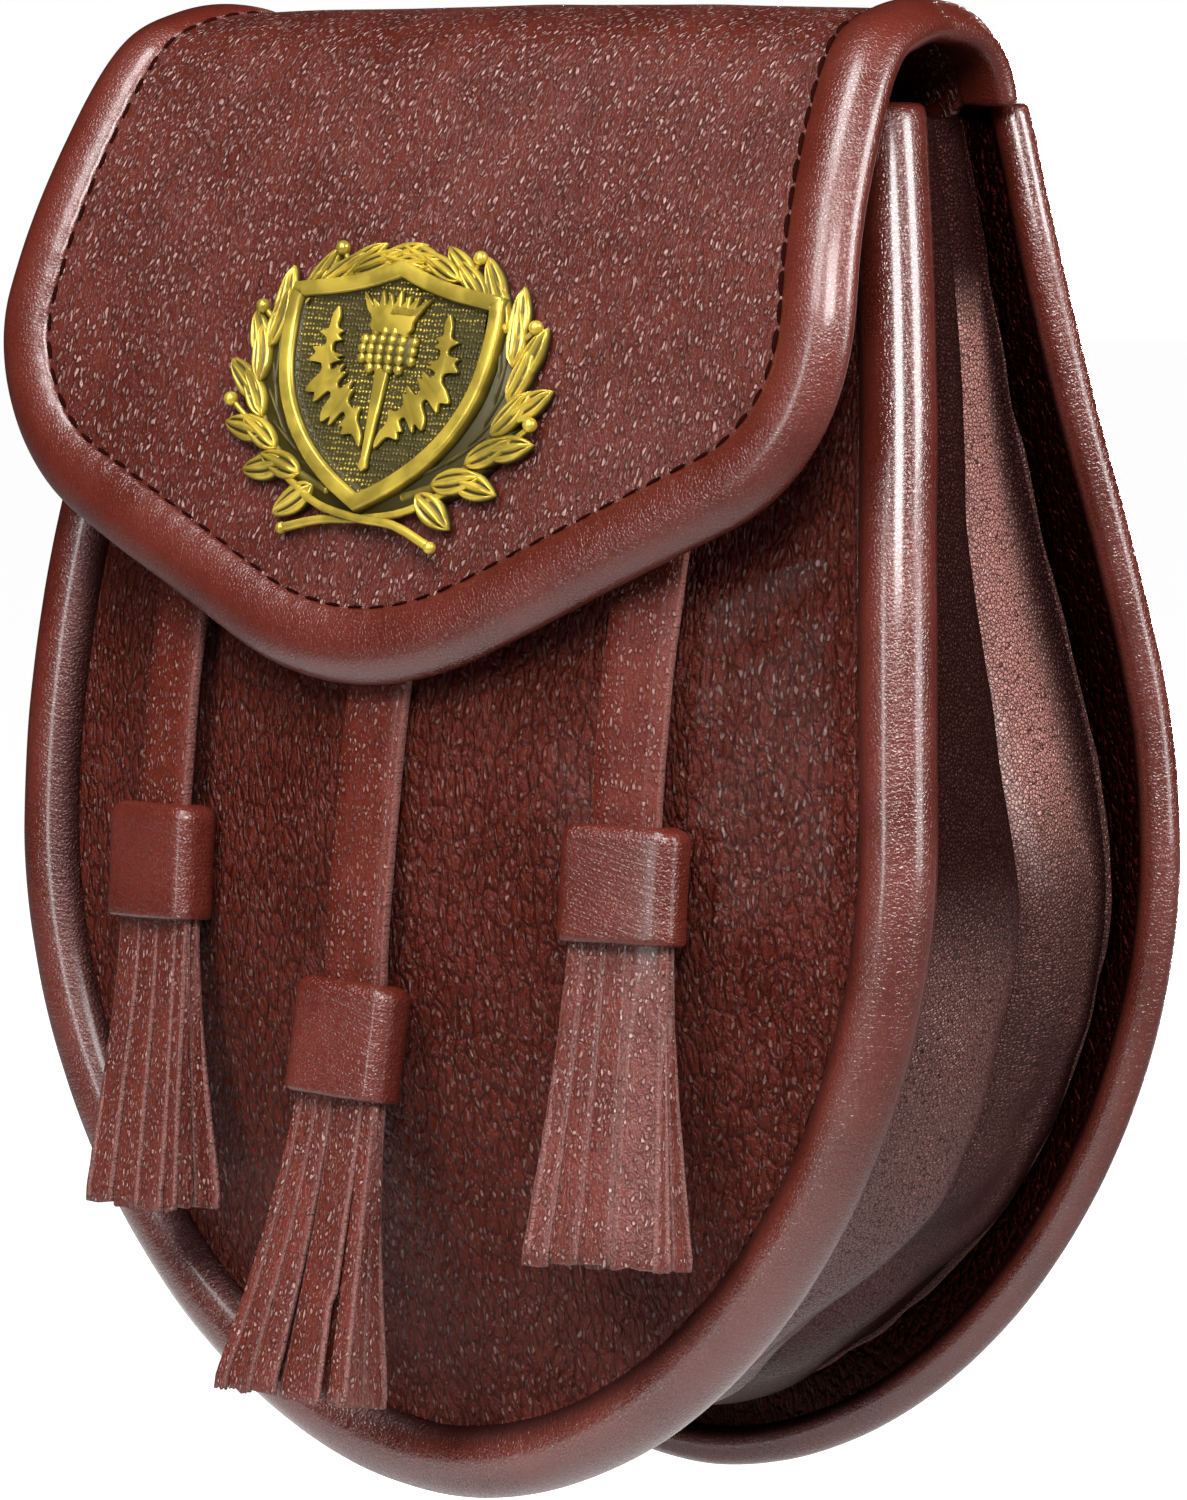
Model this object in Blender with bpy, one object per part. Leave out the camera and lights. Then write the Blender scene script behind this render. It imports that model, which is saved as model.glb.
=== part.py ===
"""Leather day sporran: a hanging pouch with a bound flap, a bellows gusset, three tassels and a badge.

Sizes are in millimetres in the pouch's own frame: X to the viewer's right, Y towards the wearer,
Z up from the lowest edge of the pouch. An empty at the middle of the belt loop carries every
piece, so that the model's origin is the point where the pouch hangs.
"""

import math
from collections import namedtuple

import bmesh
import bpy
from mathutils import Matrix, Vector

MM = 0.001
GAP = 0.3                       # clearance between neighbouring pieces

HANG_POINT = Vector((0.0, 24.2, 129.0))

# ---- body outline: the centre line of the front edge roll, right half ----
TOP_HEIGHT = 175.7
WIDEST_HEIGHT = 83.7
LOWEST_HEIGHT = 5.0
WIDEST_HALF = 69.4
TOP_HALF = 55.3
SIDE_POWER = 1.78               # how the sides draw in above the widest height
BOTTOM_POWER = 1.88             # 2 would be an ellipse; less is a little more pointed
SIDE_STEPS = 9
BOTTOM_STEPS = 10

# where the front and back edge rolls stand at each height
Depth = namedtuple("Depth", "height front back")
DEPTHS = (
    Depth(0.0, -24.7, 25.0),
    Depth(84.0, -24.7, 25.0),
    Depth(98.7, -24.1, 23.9),
    Depth(118.7, -21.8, 19.4),
    Depth(138.7, -17.8, 14.7),
    Depth(158.7, -13.4, 12.3),
    Depth(176.0, -9.6, 12.1),
)

# ---- front and back walls ----
WALL = 2.0
FRONT_ROLL_RADIUS = 4.9
BACK_ROLL_RADIUS = 2.7
ROLL_SIDES = 10
FRONT_EDGE_INSET = FRONT_ROLL_RADIUS + GAP + 0.05
FRONT_EDGE_FORWARD = 2.2        # the panel meets the roll in front of its centre
DOME = 15.5                     # how far the filled front stands out
DOME_HEIGHT = 80.0
DOME_ACROSS_POWER = 1.45
DOME_UP_POWER = 1.2
FRONT_COLUMNS = 10
BACK_ROLL_OUT = 2.3             # brings both rolls to the same outer outline
BACK_EDGE_INSET = BACK_ROLL_RADIUS - BACK_ROLL_OUT + GAP + 0.05

# ---- gusset: its folds, from the front roll to the back panel ----
GUSSET_WALL = 1.4
GUSSET_TOP = 174.2
VALLEY_SHARE = 0.19             # valley depth for each millimetre of pouch depth
VALLEY_MOST = 8.6
GUSSET_FOOT_OUT = -1.4
Fold = namedtuple("Fold", "name along inward")
FOLDS = (
    Fold("front edge", 0.00, -0.10),
    Fold("wall", 0.30, 0.12),
    Fold("valley side", 0.50, 0.72),
    Fold("valley", 0.60, 1.00),
    Fold("swell side", 0.72, 0.60),
    Fold("swell", 0.85, 0.42),
    Fold("seam", 1.00, 0.60),
)

# ---- flap: outer face in the middle, from its hidden tail over the arch to the tip ----
FLAP_WALL = 2.2
ArchPoint = namedtuple("ArchPoint", "name y z")
FLAP_PROFILE = (
    ArchPoint("tail end", 10.6, 160.0),
    ArchPoint("tail", 10.7, 170.0),
    ArchPoint("rear shoulder", 8.8, 180.3),
    ArchPoint("rear of crown", 3.6, 186.0),
    ArchPoint("crown", -5.0, 187.7),
    ArchPoint("front of crown", -13.2, 186.6),
    ArchPoint("front shoulder", -20.2, 183.2),
    ArchPoint("upper front", -26.9, 173.7),
    ArchPoint("above badge", -33.8, 158.7),
    ArchPoint("behind badge", -39.3, 138.7),
    ArchPoint("below badge", -44.3, 118.7),
    ArchPoint("tip", -47.0, 107.0),
)
CROWN_BULGE = 0.8
FLAP_EDGE_HALF = 53.4           # half width of the sheet at the crown
FLAP_TAIL_HALF = 49.0           # and where its tail lies inside the back panel
FLAP_CORNER = (62.3, 138.3)     # half width and height where side and lower edge would meet
FLAP_TIP_HEIGHT = 108.9         # where the two lower edges would meet
FLAP_CORNER_RADIUS = 19.0
FLAP_TIP_RADIUS = 37.0
FLAP_SETBACK = 2.2              # the lower corners lie back from the middle
FLAP_COLUMNS = 8
FLAP_BINDING_HEIGHT = 177.0     # the flap's edge roll ends here, on the back panel's roll
FLAP_ROLL_HALF = (4.6, 2.6)
FLAP_ROLL_LEAN = math.radians(22.0)

# ---- straps and tassels ----
STRAP_WIDTH = 9.5
STRAP_WALL = 1.7
STRAP_TOP = 150.0
Hang = namedtuple("Hang", "height side centre")
HANGS = (                       # how far the straps stand off the front, above their caps
    Hang(0.0, 3.5, 3.5),
    Hang(12.0, 3.2, 1.9),
    Hang(24.0, 3.3, 0.8),
    Hang(36.0, 3.4, 0.5),
    Hang(48.0, 2.4, 0.7),
    Hang(62.0, 1.2, 0.7),
)
CAP_WALL = 1.4
CAP_LIP = 1.4
CAP_THICKNESS = 6.2
CAP_HEIGHT = 14.7
CAP_ROUND = 1.6
STRAP_INSERT = 2.4                # the strap reaches this far into its cap
HEAD_DROP = 6.2                 # the fringe's head starts this far down
Tassel = namedtuple("Tassel", "name x cap_top cap_width yaw lean roll fringe width depth sway")
TASSELS = (
    Tassel("left", -38.3, 87.3, 16.8, -11.0, 3.0, 0.0, 36.8, 18.0, 7.6, -0.1),
    Tassel("centre", 0.0, 66.8, 16.0, 0.0, 6.0, 4.1, 38.0, 21.6, 8.6, -0.9),
    Tassel("right", 38.3, 87.3, 16.8, 11.0, 4.0, 1.2, 40.0, 20.0, 8.0, 0.2),
)
FRONT_STRIPS = 6
BACK_STRIPS = 5
STRIP_WALL = 1.1
STRIP_SLIT = 0.35               # between neighbouring strips

# ---- badge, laid on the flap ----
BADGE_HEIGHT = 137.7            # where its origin lies on the flap's middle
BADGE_TURN = math.radians(-3.0)
PLATE = 1.2
PLATE_HALF = (23.6, 16.2)       # the plate behind the wreath
WREATH_HALF = (20.9, 13.6)      # the line on which the leaves root
WREATH_MIDDLE = 2.9
SHIELD_HALF = 17.6
SHIELD_TOP = 14.6
SHIELD_PEAK = 18.4
SHIELD_TIP = -13.5
SHIELD_RIM = 2.1
SHIELD_FIELD_HEIGHT = 1.9
SHIELD_RIM_HEIGHT = 2.8
RELIEF_HEIGHT = 2.6
LEAF_LENGTH = 8.4
LEAF_WIDTH = 3.0
LEAF_HEIGHT = 3.0
LEAF_PAIRS = 9
LEAF_FIRST = -66.0
LEAF_LAST = 76.0
LEAF_SPLAYS = ((-0.42, 1.0, 0.0), (0.36, 0.88, 0.35))   # turn, length share, drop
BERRIES = ((11.6, 18.2), (21.6, 10.6), (23.8, -0.6))
BERRY_RADIUS = 1.2
STEM = ((-11.0, -10.6), (-5.0, -13.3), (0.0, -14.7), (6.0, -15.8), (13.0, -17.2))
BULB = (0.0, 6.7, 4.6, 2.9)     # middle x and y, half sizes
PETALS = ((-3.0, 8.3), (-5.4, 13.2), (-3.3, 11.9), (-1.7, 14.7), (0.0, 12.4), (1.8, 14.9),
          (3.3, 12.1), (5.4, 13.0), (3.0, 8.3))
THISTLE_LEAF = ((1.2, -5.2), (4.4, -1.6), (6.4, 1.9), (7.0, 5.4), (9.0, 11.6), (9.0, 7.2),
                (11.4, 5.4), (10.0, 3.4), (12.6, 1.6), (9.6, 0.4), (11.0, -2.4), (7.8, -2.0),
                (7.4, -5.0), (4.6, -4.0))

# ---- belt loop ----
LOOP_HALF_WIDTH = 34.0
LOOP_WALL = 2.0
LOOP_STAND = 27.2               # inner face of the loop's straight part
LoopPoint = namedtuple("LoopPoint", "name stand z")

Frame = namedtuple("Frame", "point out face")


# ---- materials ----
def leather(name, colour, roughness):
    """Plain leather material, set by its colour and gloss."""
    material = bpy.data.materials.new(name)
    material.use_nodes = True
    shader = material.node_tree.nodes["Principled BSDF"]
    shader.inputs["Base Color"].default_value = (*colour, 1.0)
    shader.inputs["Roughness"].default_value = roughness
    return material


def brass(name):
    """Antiqued cast brass."""
    material = leather(name, (0.56, 0.42, 0.09), 0.35)
    material.node_tree.nodes["Principled BSDF"].inputs["Metallic"].default_value = 1.0
    return material


# ---- curves ----
def smooth(rows, column, height):
    """Value of a named column at a height, on a smooth curve through the rows."""
    if height <= rows[0].height:
        return getattr(rows[0], column)
    if height >= rows[-1].height:
        return getattr(rows[-1], column)
    heights = [row.height for row in rows]
    values = [getattr(row, column) for row in rows]
    slopes = [(b - a) / (q - p) for a, b, p, q in zip(values, values[1:], heights, heights[1:])]
    tangents = [slopes[0]] + [(a + b) / 2 for a, b in zip(slopes, slopes[1:])] + [slopes[-1]]
    low = max(k for k in range(len(rows) - 1) if heights[k] <= height)
    span = heights[low + 1] - heights[low]
    t = (height - heights[low]) / span
    return (values[low] * (2 * t**3 - 3 * t**2 + 1) + tangents[low] * span * (t**3 - 2 * t**2 + t)
            + values[low + 1] * (3 * t**2 - 2 * t**3) + tangents[low + 1] * span * (t**3 - t**2))


def front_y(height):
    return smooth(DEPTHS, "front", height)


def back_y(height):
    return smooth(DEPTHS, "back", height)


def ease(value):
    """Smooth step from 0 to 1."""
    value = min(max(value, 0.0), 1.0)
    return value * value * (3.0 - 2.0 * value)


def through(points, steps):
    """Points of a smooth curve through the given ones, `steps` to each stretch."""
    ends = [points[0] * 2 - points[1], *points, points[-1] * 2 - points[-2]]
    curve = []
    for a, b, c, d in zip(ends, ends[1:], ends[2:], ends[3:]):
        for step in range(steps):
            t = step / steps
            curve.append(0.5 * (2 * b + (c - a) * t + (2 * a - 5 * b + 4 * c - d) * t**2
                                + (3 * b - a - 3 * c + d) * t**3))
    return curve + [points[-1].copy()]


def body_outline():
    """Right half of the front roll's centre line, (x, z) from the top to the lowest point."""
    points = []
    for step in range(SIDE_STEPS):
        z = TOP_HEIGHT + (WIDEST_HEIGHT - TOP_HEIGHT) * step / SIDE_STEPS
        rise = (z - WIDEST_HEIGHT) / (TOP_HEIGHT - WIDEST_HEIGHT)
        points.append(Vector((WIDEST_HALF - (WIDEST_HALF - TOP_HALF) * rise**SIDE_POWER, z)))
    for step in range(BOTTOM_STEPS + 1):
        turn = math.radians(90.0) * step / BOTTOM_STEPS
        x = WIDEST_HALF * max(math.cos(turn), 0.0) ** (2 / BOTTOM_POWER)
        drop = math.sin(turn) ** (2 / BOTTOM_POWER)
        points.append(Vector((x, WIDEST_HEIGHT - (WIDEST_HEIGHT - LOWEST_HEIGHT) * drop)))
    points[-1].x = 0.0
    return points


OUTLINE = body_outline()


def outline_normals():
    """Unit normals of the outline, away from the pouch; the top one is level, so ends are level."""
    ahead = OUTLINE[1:] + [Vector((-OUTLINE[-2].x, OUTLINE[-2].y))]
    behind = [OUTLINE[0]] + OUTLINE[:-1]
    normals = []
    for a, b in zip(behind, ahead):
        along = (b - a).normalized()
        normals.append(Vector((-along.y, along.x)))
    normals[0] = Vector((1.0, 0.0))
    return normals


def offset_outline(out):
    """The half outline moved outwards, with the same stations."""
    moved = [point + normal * out for point, normal in zip(OUTLINE, outline_normals())]
    moved[-1].x = 0.0
    return moved


def body_frames(depth, out=0.0):
    """Frames along the whole outline, from its right top round the bottom to its left top."""
    half = []
    for point, normal in zip(offset_outline(out), outline_normals()):
        half.append((point, normal))
    frames = [Frame(Vector((p.x, depth(p.y), p.y)), Vector((n.x, 0, n.y)), Vector((0, -1, 0)))
              for p, n in half]
    mirrored = [Frame(Vector((-f.point.x, f.point.y, f.point.z)), Vector((-f.out.x, 0, f.out.z)),
                      f.face) for f in frames[-2::-1]]
    return frames + mirrored


# ---- solids ----
def add_object(name, bm, material, parent, rounded=True):
    """Object in metres from a mesh in millimetres."""
    bmesh.ops.recalc_face_normals(bm, faces=bm.faces)
    bm.transform(Matrix.Scale(MM, 4))
    mesh = bpy.data.meshes.new(name)
    bm.to_mesh(mesh)
    bm.free()
    if rounded:
        mesh.shade_smooth()
        mesh.set_sharp_from_angle(angle=math.radians(40.0))
    mesh.materials.append(material)
    piece = bpy.data.objects.new(name, mesh)
    bpy.context.scene.collection.objects.link(piece)
    piece.parent = parent
    return piece


def sheet(name, stations, surface, columns, wall, material, parent):
    """Curved sheet: one row for each (half width, along) station, `wall` thick behind its face."""
    rows = len(stations) - 1
    bm = bmesh.new()
    bmesh.ops.create_grid(bm, x_segments=columns, y_segments=rows, size=1.0)
    for vertex in bm.verts:
        half, along = stations[round((1.0 - vertex.co.y) / 2.0 * rows)]
        vertex.co = surface(vertex.co.x * half, along)
    bmesh.ops.remove_doubles(bm, verts=bm.verts, dist=0.01)
    bm.transform(Matrix.Scale(MM, 4))
    mesh = bpy.data.meshes.new(name)
    bm.to_mesh(mesh)
    bm.free()
    mesh.shade_smooth()
    mesh.materials.append(material)
    piece = bpy.data.objects.new(name, mesh)
    bpy.context.scene.collection.objects.link(piece)
    piece.parent = parent
    solidify = piece.modifiers.new("wall", "SOLIDIFY")
    solidify.thickness = wall * MM
    solidify.offset = -1.0
    return piece


def extrude_rings(bm, rings):
    """Skin through rings of equal length, by extruding the first from ring to ring."""
    first = [bm.verts.new(co) for co in rings[0]]
    first_edges = [bm.edges.new((a, b)) for a, b in zip(first, first[1:] + first[:1])]
    ring, edges = first, first_edges
    for places in rings[1:]:
        made = bmesh.ops.extrude_edge_only(bm, edges=edges)["geom"]
        new = {item for item in made if isinstance(item, bmesh.types.BMVert)}
        ring = [next(edge.other_vert(vertex) for edge in vertex.link_edges
                     if edge.other_vert(vertex) in new) for vertex in ring]
        for vertex, co in zip(ring, places):
            vertex.co = co
        edges = [bm.edges.get((a, b)) for a, b in zip(ring, ring[1:] + ring[:1])]
    return first, first_edges, ring, edges


def capped(bm, rings):
    """Skin through the rings, closed at both ends."""
    first, _, last, _ = extrude_rings(bm, rings)
    bm.faces.new(first)
    bm.faces.new(last)


def sweep(name, frames, sections, material, parent):
    """Solid that carries sections of (out, back) offsets along the frames."""
    bm = bmesh.new()
    capped(bm, [[frame.point + frame.out * out - frame.face * back for out, back in section]
                for frame, section in zip(frames, sections)])
    return add_object(name, bm, material, parent)


def ellipse(half_out, half_back, sides, lean=0.0, centre=(0.0, 0.0)):
    """Section points of an ellipse, leaning its outer end back."""
    points = []
    for side in range(sides):
        turn = math.tau * side / sides
        a, b = half_out * math.cos(turn), half_back * math.sin(turn)
        points.append((centre[0] + a * math.cos(lean) - b * math.sin(lean),
                       centre[1] + a * math.sin(lean) + b * math.cos(lean)))
    return points


def thickened(line, wall):
    """Closed section round an open line of (out, back) points."""
    points = [Vector(point) for point in line]
    sides = []
    for index, point in enumerate(points):
        before = (point - points[index - 1]).normalized() if index else None
        after = (points[index + 1] - point).normalized() if index < len(points) - 1 else None
        along = ((before or after) + (after or before)).normalized()
        normal = Vector((-along.y, along.x))
        reach = wall / 2 / max(normal.dot(Vector((-(after or before).y, (after or before).x))), 0.6)
        sides.append((point + normal * reach, point - normal * reach))
    return [side[0] for side in sides] + [side[1] for side in reversed(sides)]


# ---- body ----
FRONT_STATIONS = [(p.x, p.y) for p in offset_outline(-FRONT_EDGE_INSET)]


def front_half(height):
    """Half width of the front panel at a height."""
    for (wide, high), (narrow, low) in zip(FRONT_STATIONS, FRONT_STATIONS[1:]):
        if low <= height <= high:
            return narrow + (wide - narrow) * (height - low) / (high - low)
    return FRONT_STATIONS[0][0] if height > FRONT_STATIONS[0][1] else 0.0


def front_surface(x, height):
    """Outer face of the domed front panel."""
    half = max(front_half(height), 0.001)
    reach = FRONT_STATIONS[0][1] - DOME_HEIGHT
    if height < DOME_HEIGHT:
        reach = DOME_HEIGHT - FRONT_STATIONS[-1][1]
    across = max(1.0 - (x / half) ** 2, 0.0) ** DOME_ACROSS_POWER
    upward = max(1.0 - ((height - DOME_HEIGHT) / reach) ** 2, 0.0) ** DOME_UP_POWER
    return Vector((x, front_y(height) - FRONT_EDGE_FORWARD - DOME * across * upward, height))


def back_surface(x, height):
    """Inner face of the back panel."""
    return Vector((x, back_y(height) - WALL / 2, height))


def build_body(parent, smooth_leather, pebble_leather):
    """Front, back, their edge rolls and the gusset."""
    sheet("front_panel", FRONT_STATIONS, front_surface, FRONT_COLUMNS, WALL, pebble_leather, parent)
    back_stations = [(p.x, p.y) for p in offset_outline(-BACK_EDGE_INSET)]
    sheet("back_panel", back_stations, back_surface, 2, WALL, pebble_leather, parent)

    frames = body_frames(front_y)
    roll = ellipse(FRONT_ROLL_RADIUS, FRONT_ROLL_RADIUS, ROLL_SIDES)
    sweep("front_binding", frames, [roll] * len(frames), smooth_leather, parent)

    frames = body_frames(back_y, BACK_ROLL_OUT)
    roll = ellipse(BACK_ROLL_RADIUS, BACK_ROLL_RADIUS, ROLL_SIDES - 2)
    sweep("back_binding", frames, [roll] * len(frames), smooth_leather, parent)

    share = (TOP_HEIGHT - GUSSET_TOP) / (frames[0].point.z - frames[1].point.z)
    frames = body_frames(front_y)
    for end, below in ((0, 1), (-1, -2)):
        point = frames[end].point.lerp(frames[below].point, share)
        frames[end] = Frame(point, frames[end].out, frames[end].face)
    sweep("gusset", frames, [gusset_section(frame.point.z) for frame in frames],
          smooth_leather, parent)


def gusset_section(height):
    """Folded section of the gusset at a height, as (out, back) from the front roll's centre."""
    depth = back_y(height) - front_y(height)
    start = FRONT_ROLL_RADIUS + GAP + 0.1
    end = depth - WALL / 2 - GAP - 0.05 - GUSSET_WALL / 2
    valley = min(VALLEY_MOST, VALLEY_SHARE * depth)
    line = [(-fold.inward * valley, start + (end - start) * fold.along) for fold in FOLDS]
    return thickened(line + [(GUSSET_FOOT_OUT, end)], GUSSET_WALL)


# ---- flap ----
FLAP_CURVE = through([Vector((point.y, point.z)) for point in FLAP_PROFILE], 12)


def flap_lengths():
    """Length along the flap's middle to each point of its curve."""
    lengths = [0.0]
    for a, b in zip(FLAP_CURVE, FLAP_CURVE[1:]):
        lengths.append(lengths[-1] + (b - a).length)
    return lengths


FLAP_LENGTHS = flap_lengths()


def flap_at(along):
    """Point and outward normal, both (y, z), at a length along the flap's middle."""
    along = min(max(along, 0.0), FLAP_LENGTHS[-1])
    low = max(k for k in range(len(FLAP_LENGTHS) - 1) if FLAP_LENGTHS[k] <= along)
    a, b = FLAP_CURVE[low], FLAP_CURVE[low + 1]
    span = FLAP_LENGTHS[low + 1] - FLAP_LENGTHS[low]
    direction = (b - a).normalized()
    return a.lerp(b, (along - FLAP_LENGTHS[low]) / span), Vector((direction.y, -direction.x))


def flap_along(height, front=True):
    """Length along the flap's middle at which its front, or its tail, reaches a height."""
    stretch = range(len(FLAP_CURVE) - 1)
    for k in reversed(stretch) if front else stretch:
        low, high = sorted((FLAP_CURVE[k].y, FLAP_CURVE[k + 1].y))
        if low <= height <= high:
            share = (height - FLAP_CURVE[k].y) / (FLAP_CURVE[k + 1].y - FLAP_CURVE[k].y)
            return FLAP_LENGTHS[k] + (FLAP_LENGTHS[k + 1] - FLAP_LENGTHS[k]) * share
    raise ValueError("height is off the flap")


def flap_surface(x, along):
    """Outer face of the flap."""
    middle, normal = flap_at(along)
    bulge = CROWN_BULGE * max(1.0 - (x / FLAP_EDGE_HALF) ** 2, 0.0)
    bulge *= ease((middle.y - 165.0) / 20.0)
    back = FLAP_SETBACK * (x / FLAP_CORNER[0]) ** 2 * ease((152.0 - middle.y) / 24.0)
    if middle.x > 0.0:
        back = 0.0
    face = middle + normal * (bulge - back)
    return Vector((x, face.x, face.y))


def fillet(before, corner, after, radius, steps):
    """Points of a round between two straight edges, from the first edge to the second."""
    first, second = (before - corner).normalized(), (after - corner).normalized()
    half = first.angle(second) / 2
    centre = corner + (first + second).normalized() * radius / math.sin(half)
    start = corner + first * radius / math.tan(half) - centre
    end = corner + second * radius / math.tan(half) - centre
    points = []
    for step in range(steps + 1):
        points.append(centre + start.normalized().slerp(end.normalized(), step / steps) * radius)
    return points


def flap_stations():
    """Right edge of the flap sheet, (half width, along) from its tail to its tip."""
    crown = FLAP_LENGTHS[max(range(len(FLAP_CURVE)), key=lambda k: FLAP_CURVE[k].y)]
    start = flap_along(FLAP_BINDING_HEIGHT, front=False)
    side_top = Vector((FLAP_EDGE_HALF, crown))
    corner = Vector((FLAP_CORNER[0], flap_along(FLAP_CORNER[1])))
    tip = Vector((0.0, flap_along(FLAP_TIP_HEIGHT)))
    round_corner = fillet(side_top, corner, tip, FLAP_CORNER_RADIUS, 5)
    across = Vector((-corner.x, corner.y))
    round_tip = fillet(corner, tip, across, FLAP_TIP_RADIUS, 8)[:5]
    stations = [(FLAP_TAIL_HALF, 0.0), (FLAP_TAIL_HALF, start - 1.5)]
    stations += [(FLAP_EDGE_HALF, start + (crown - start) * k / 4) for k in range(4)]
    side = round_corner[0]
    stations += [tuple(side_top.lerp(side, k / 7)) for k in range(7)]
    stations += [tuple(point) for point in round_corner]
    stations += [tuple(round_corner[-1].lerp(round_tip[0], k / 4)) for k in range(1, 4)]
    stations += [tuple(point) for point in round_tip]
    stations[-1] = (0.0, stations[-1][1])
    return stations


def flap_frames(stations):
    """Frames along the flap's edge, from its right end behind, round the tip, to the left end."""
    edge = stations + [(-x, along) for x, along in stations[-2::-1]]
    places = [flap_surface(x, along) for x, along in edge]
    frames = []
    for index, (x, along) in enumerate(edge):
        before, after = places[max(index - 1, 0)], places[min(index + 1, len(places) - 1)]
        travel = (after - before).normalized()
        step = 0.5
        normal = (flap_surface(x - step, along) - flap_surface(x + step, along)).cross(
            flap_surface(x, along - step) - flap_surface(x, along + step)).normalized()
        inside = flap_surface(x * 0.8, along - 3.0)
        if normal.dot(Vector((0, *flap_at(along)[1]))) < 0:
            normal.negate()
        out = travel.cross(normal).normalized()
        if out.dot(places[index] - inside) < 0:
            out.negate()
        frames.append(Frame(places[index], out, normal))
    return frames


def build_flap(parent, smooth_leather, pebble_leather):
    """Flap sheet and its edge roll."""
    stations = flap_stations()
    sheet("flap", stations, flap_surface, FLAP_COLUMNS, FLAP_WALL, pebble_leather, parent)
    half, thick = FLAP_ROLL_HALF
    reach = half + GAP + 0.2
    centre = (reach * math.cos(FLAP_ROLL_LEAN), reach * math.sin(FLAP_ROLL_LEAN))
    roll = ellipse(half, thick, ROLL_SIDES, FLAP_ROLL_LEAN, centre)
    frames = flap_frames(stations[2:])
    sweep("flap_binding", frames, [roll] * len(frames), smooth_leather, parent)


# ---- tassels ----
def strap_surface(tassel, x, height):
    """Outer face of a strap that hangs from under the flap and leaves the panel near its cap."""
    stand = smooth(HANGS, "side" if tassel.x else "centre", height - tassel.cap_top)
    stand += STRAP_WALL + math.tan(math.radians(tassel.lean)) * max(tassel.cap_top - height, 0.0)
    across = x * math.tan(math.radians(tassel.yaw))
    panel = front_surface(tassel.x, max(height, tassel.cap_top)).y
    return Vector((tassel.x + x, panel - stand + across, height))


def rounded_rectangle(width, depth, radius, z):
    """Ring of twelve points, three to each corner."""
    ring = []
    for corner, (sx, sy) in enumerate(((1, 1), (-1, 1), (-1, -1), (1, -1))):
        centre = Vector((sx * (width / 2 - radius), sy * (depth / 2 - radius)))
        for step in range(3):
            turn = math.radians(90.0 * corner + 45.0 * step)
            ring.append(Vector((centre.x + radius * math.cos(turn),
                                centre.y + radius * math.sin(turn), z)))
    return ring


def build_cap(tassel, holder, material):
    """Sleeve with a lipped slot at its top for the strap."""
    width, thick = tassel.cap_width, CAP_THICKNESS
    inner = (width - 2 * CAP_WALL, thick - 2 * CAP_WALL)
    slot = (STRAP_WIDTH + 1.8, STRAP_WALL + 1.4)
    rings = [
        rounded_rectangle(width, thick, CAP_ROUND, -CAP_HEIGHT),
        rounded_rectangle(width, thick, CAP_ROUND, -CAP_ROUND),
        rounded_rectangle(width - CAP_ROUND, thick - CAP_ROUND, CAP_ROUND * 0.8, 0.0),
        rounded_rectangle(*slot, 0.3, 0.0),
        rounded_rectangle(*slot, 0.3, -CAP_LIP),
        rounded_rectangle(*inner, 0.5, -CAP_LIP),
        rounded_rectangle(*inner, 0.5, -CAP_HEIGHT),
    ]
    bm = bmesh.new()
    _, first_edges, _, last_edges = extrude_rings(bm, rings)
    bmesh.ops.bridge_loops(bm, edges=first_edges + last_edges)
    return add_object("cap_" + tassel.name, bm, material, holder)


def strip_rings(tassel, count, side, index):
    """Sections of one fringe strip, from inside the head down to its cut end."""
    inner = tassel.cap_width - 2 * CAP_WALL - 1.2
    rings = []
    for share, flare in ((0.0, 0.0), (0.08, 0.0), (0.45, 0.6), (1.0, 1.0)):
        z = -CAP_HEIGHT + 2.0 - (tassel.fringe + 2.0) * share
        pitch = (inner + (tassel.width - inner) * flare) / count
        x = (index + 0.5 - count / 2) * pitch + tassel.sway * flare
        half, wall = (pitch - STRIP_SLIT) / 2, STRIP_WALL / 2
        y = side * (wall + 0.1 + (tassel.depth / 2 - STRIP_WALL) * flare)
        rings.append([Vector((x - half, y - wall, z)), Vector((x + half, y - wall, z)),
                      Vector((x + half, y + wall, z)), Vector((x - half, y + wall, z))])
    return rings


def build_skirt(tassel, holder, material):
    """Fringe: strips fused to a head that sits in the cap."""
    width = tassel.cap_width - 2 * CAP_WALL - 2 * GAP
    thick = CAP_THICKNESS - 2 * CAP_WALL - 2 * GAP
    bm = bmesh.new()
    top = -HEAD_DROP
    capped(bm, [rounded_rectangle(width, thick, 0.4, z) for z in (top, -CAP_HEIGHT - 0.8)])
    skirt = add_object("skirt_" + tassel.name, bm, material, holder)

    bm = bmesh.new()
    for count, side in ((FRONT_STRIPS, -1), (BACK_STRIPS, 1)):
        for index in range(count):
            capped(bm, strip_rings(tassel, count, side, index))
    strips = add_object("strips_" + tassel.name, bm, material, holder)
    strips.hide_render = True
    strips.display_type = "WIRE"
    fuse = skirt.modifiers.new("strips", "BOOLEAN")
    fuse.operation = "UNION"
    fuse.object = strips
    fuse.use_self = True
    return skirt


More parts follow.
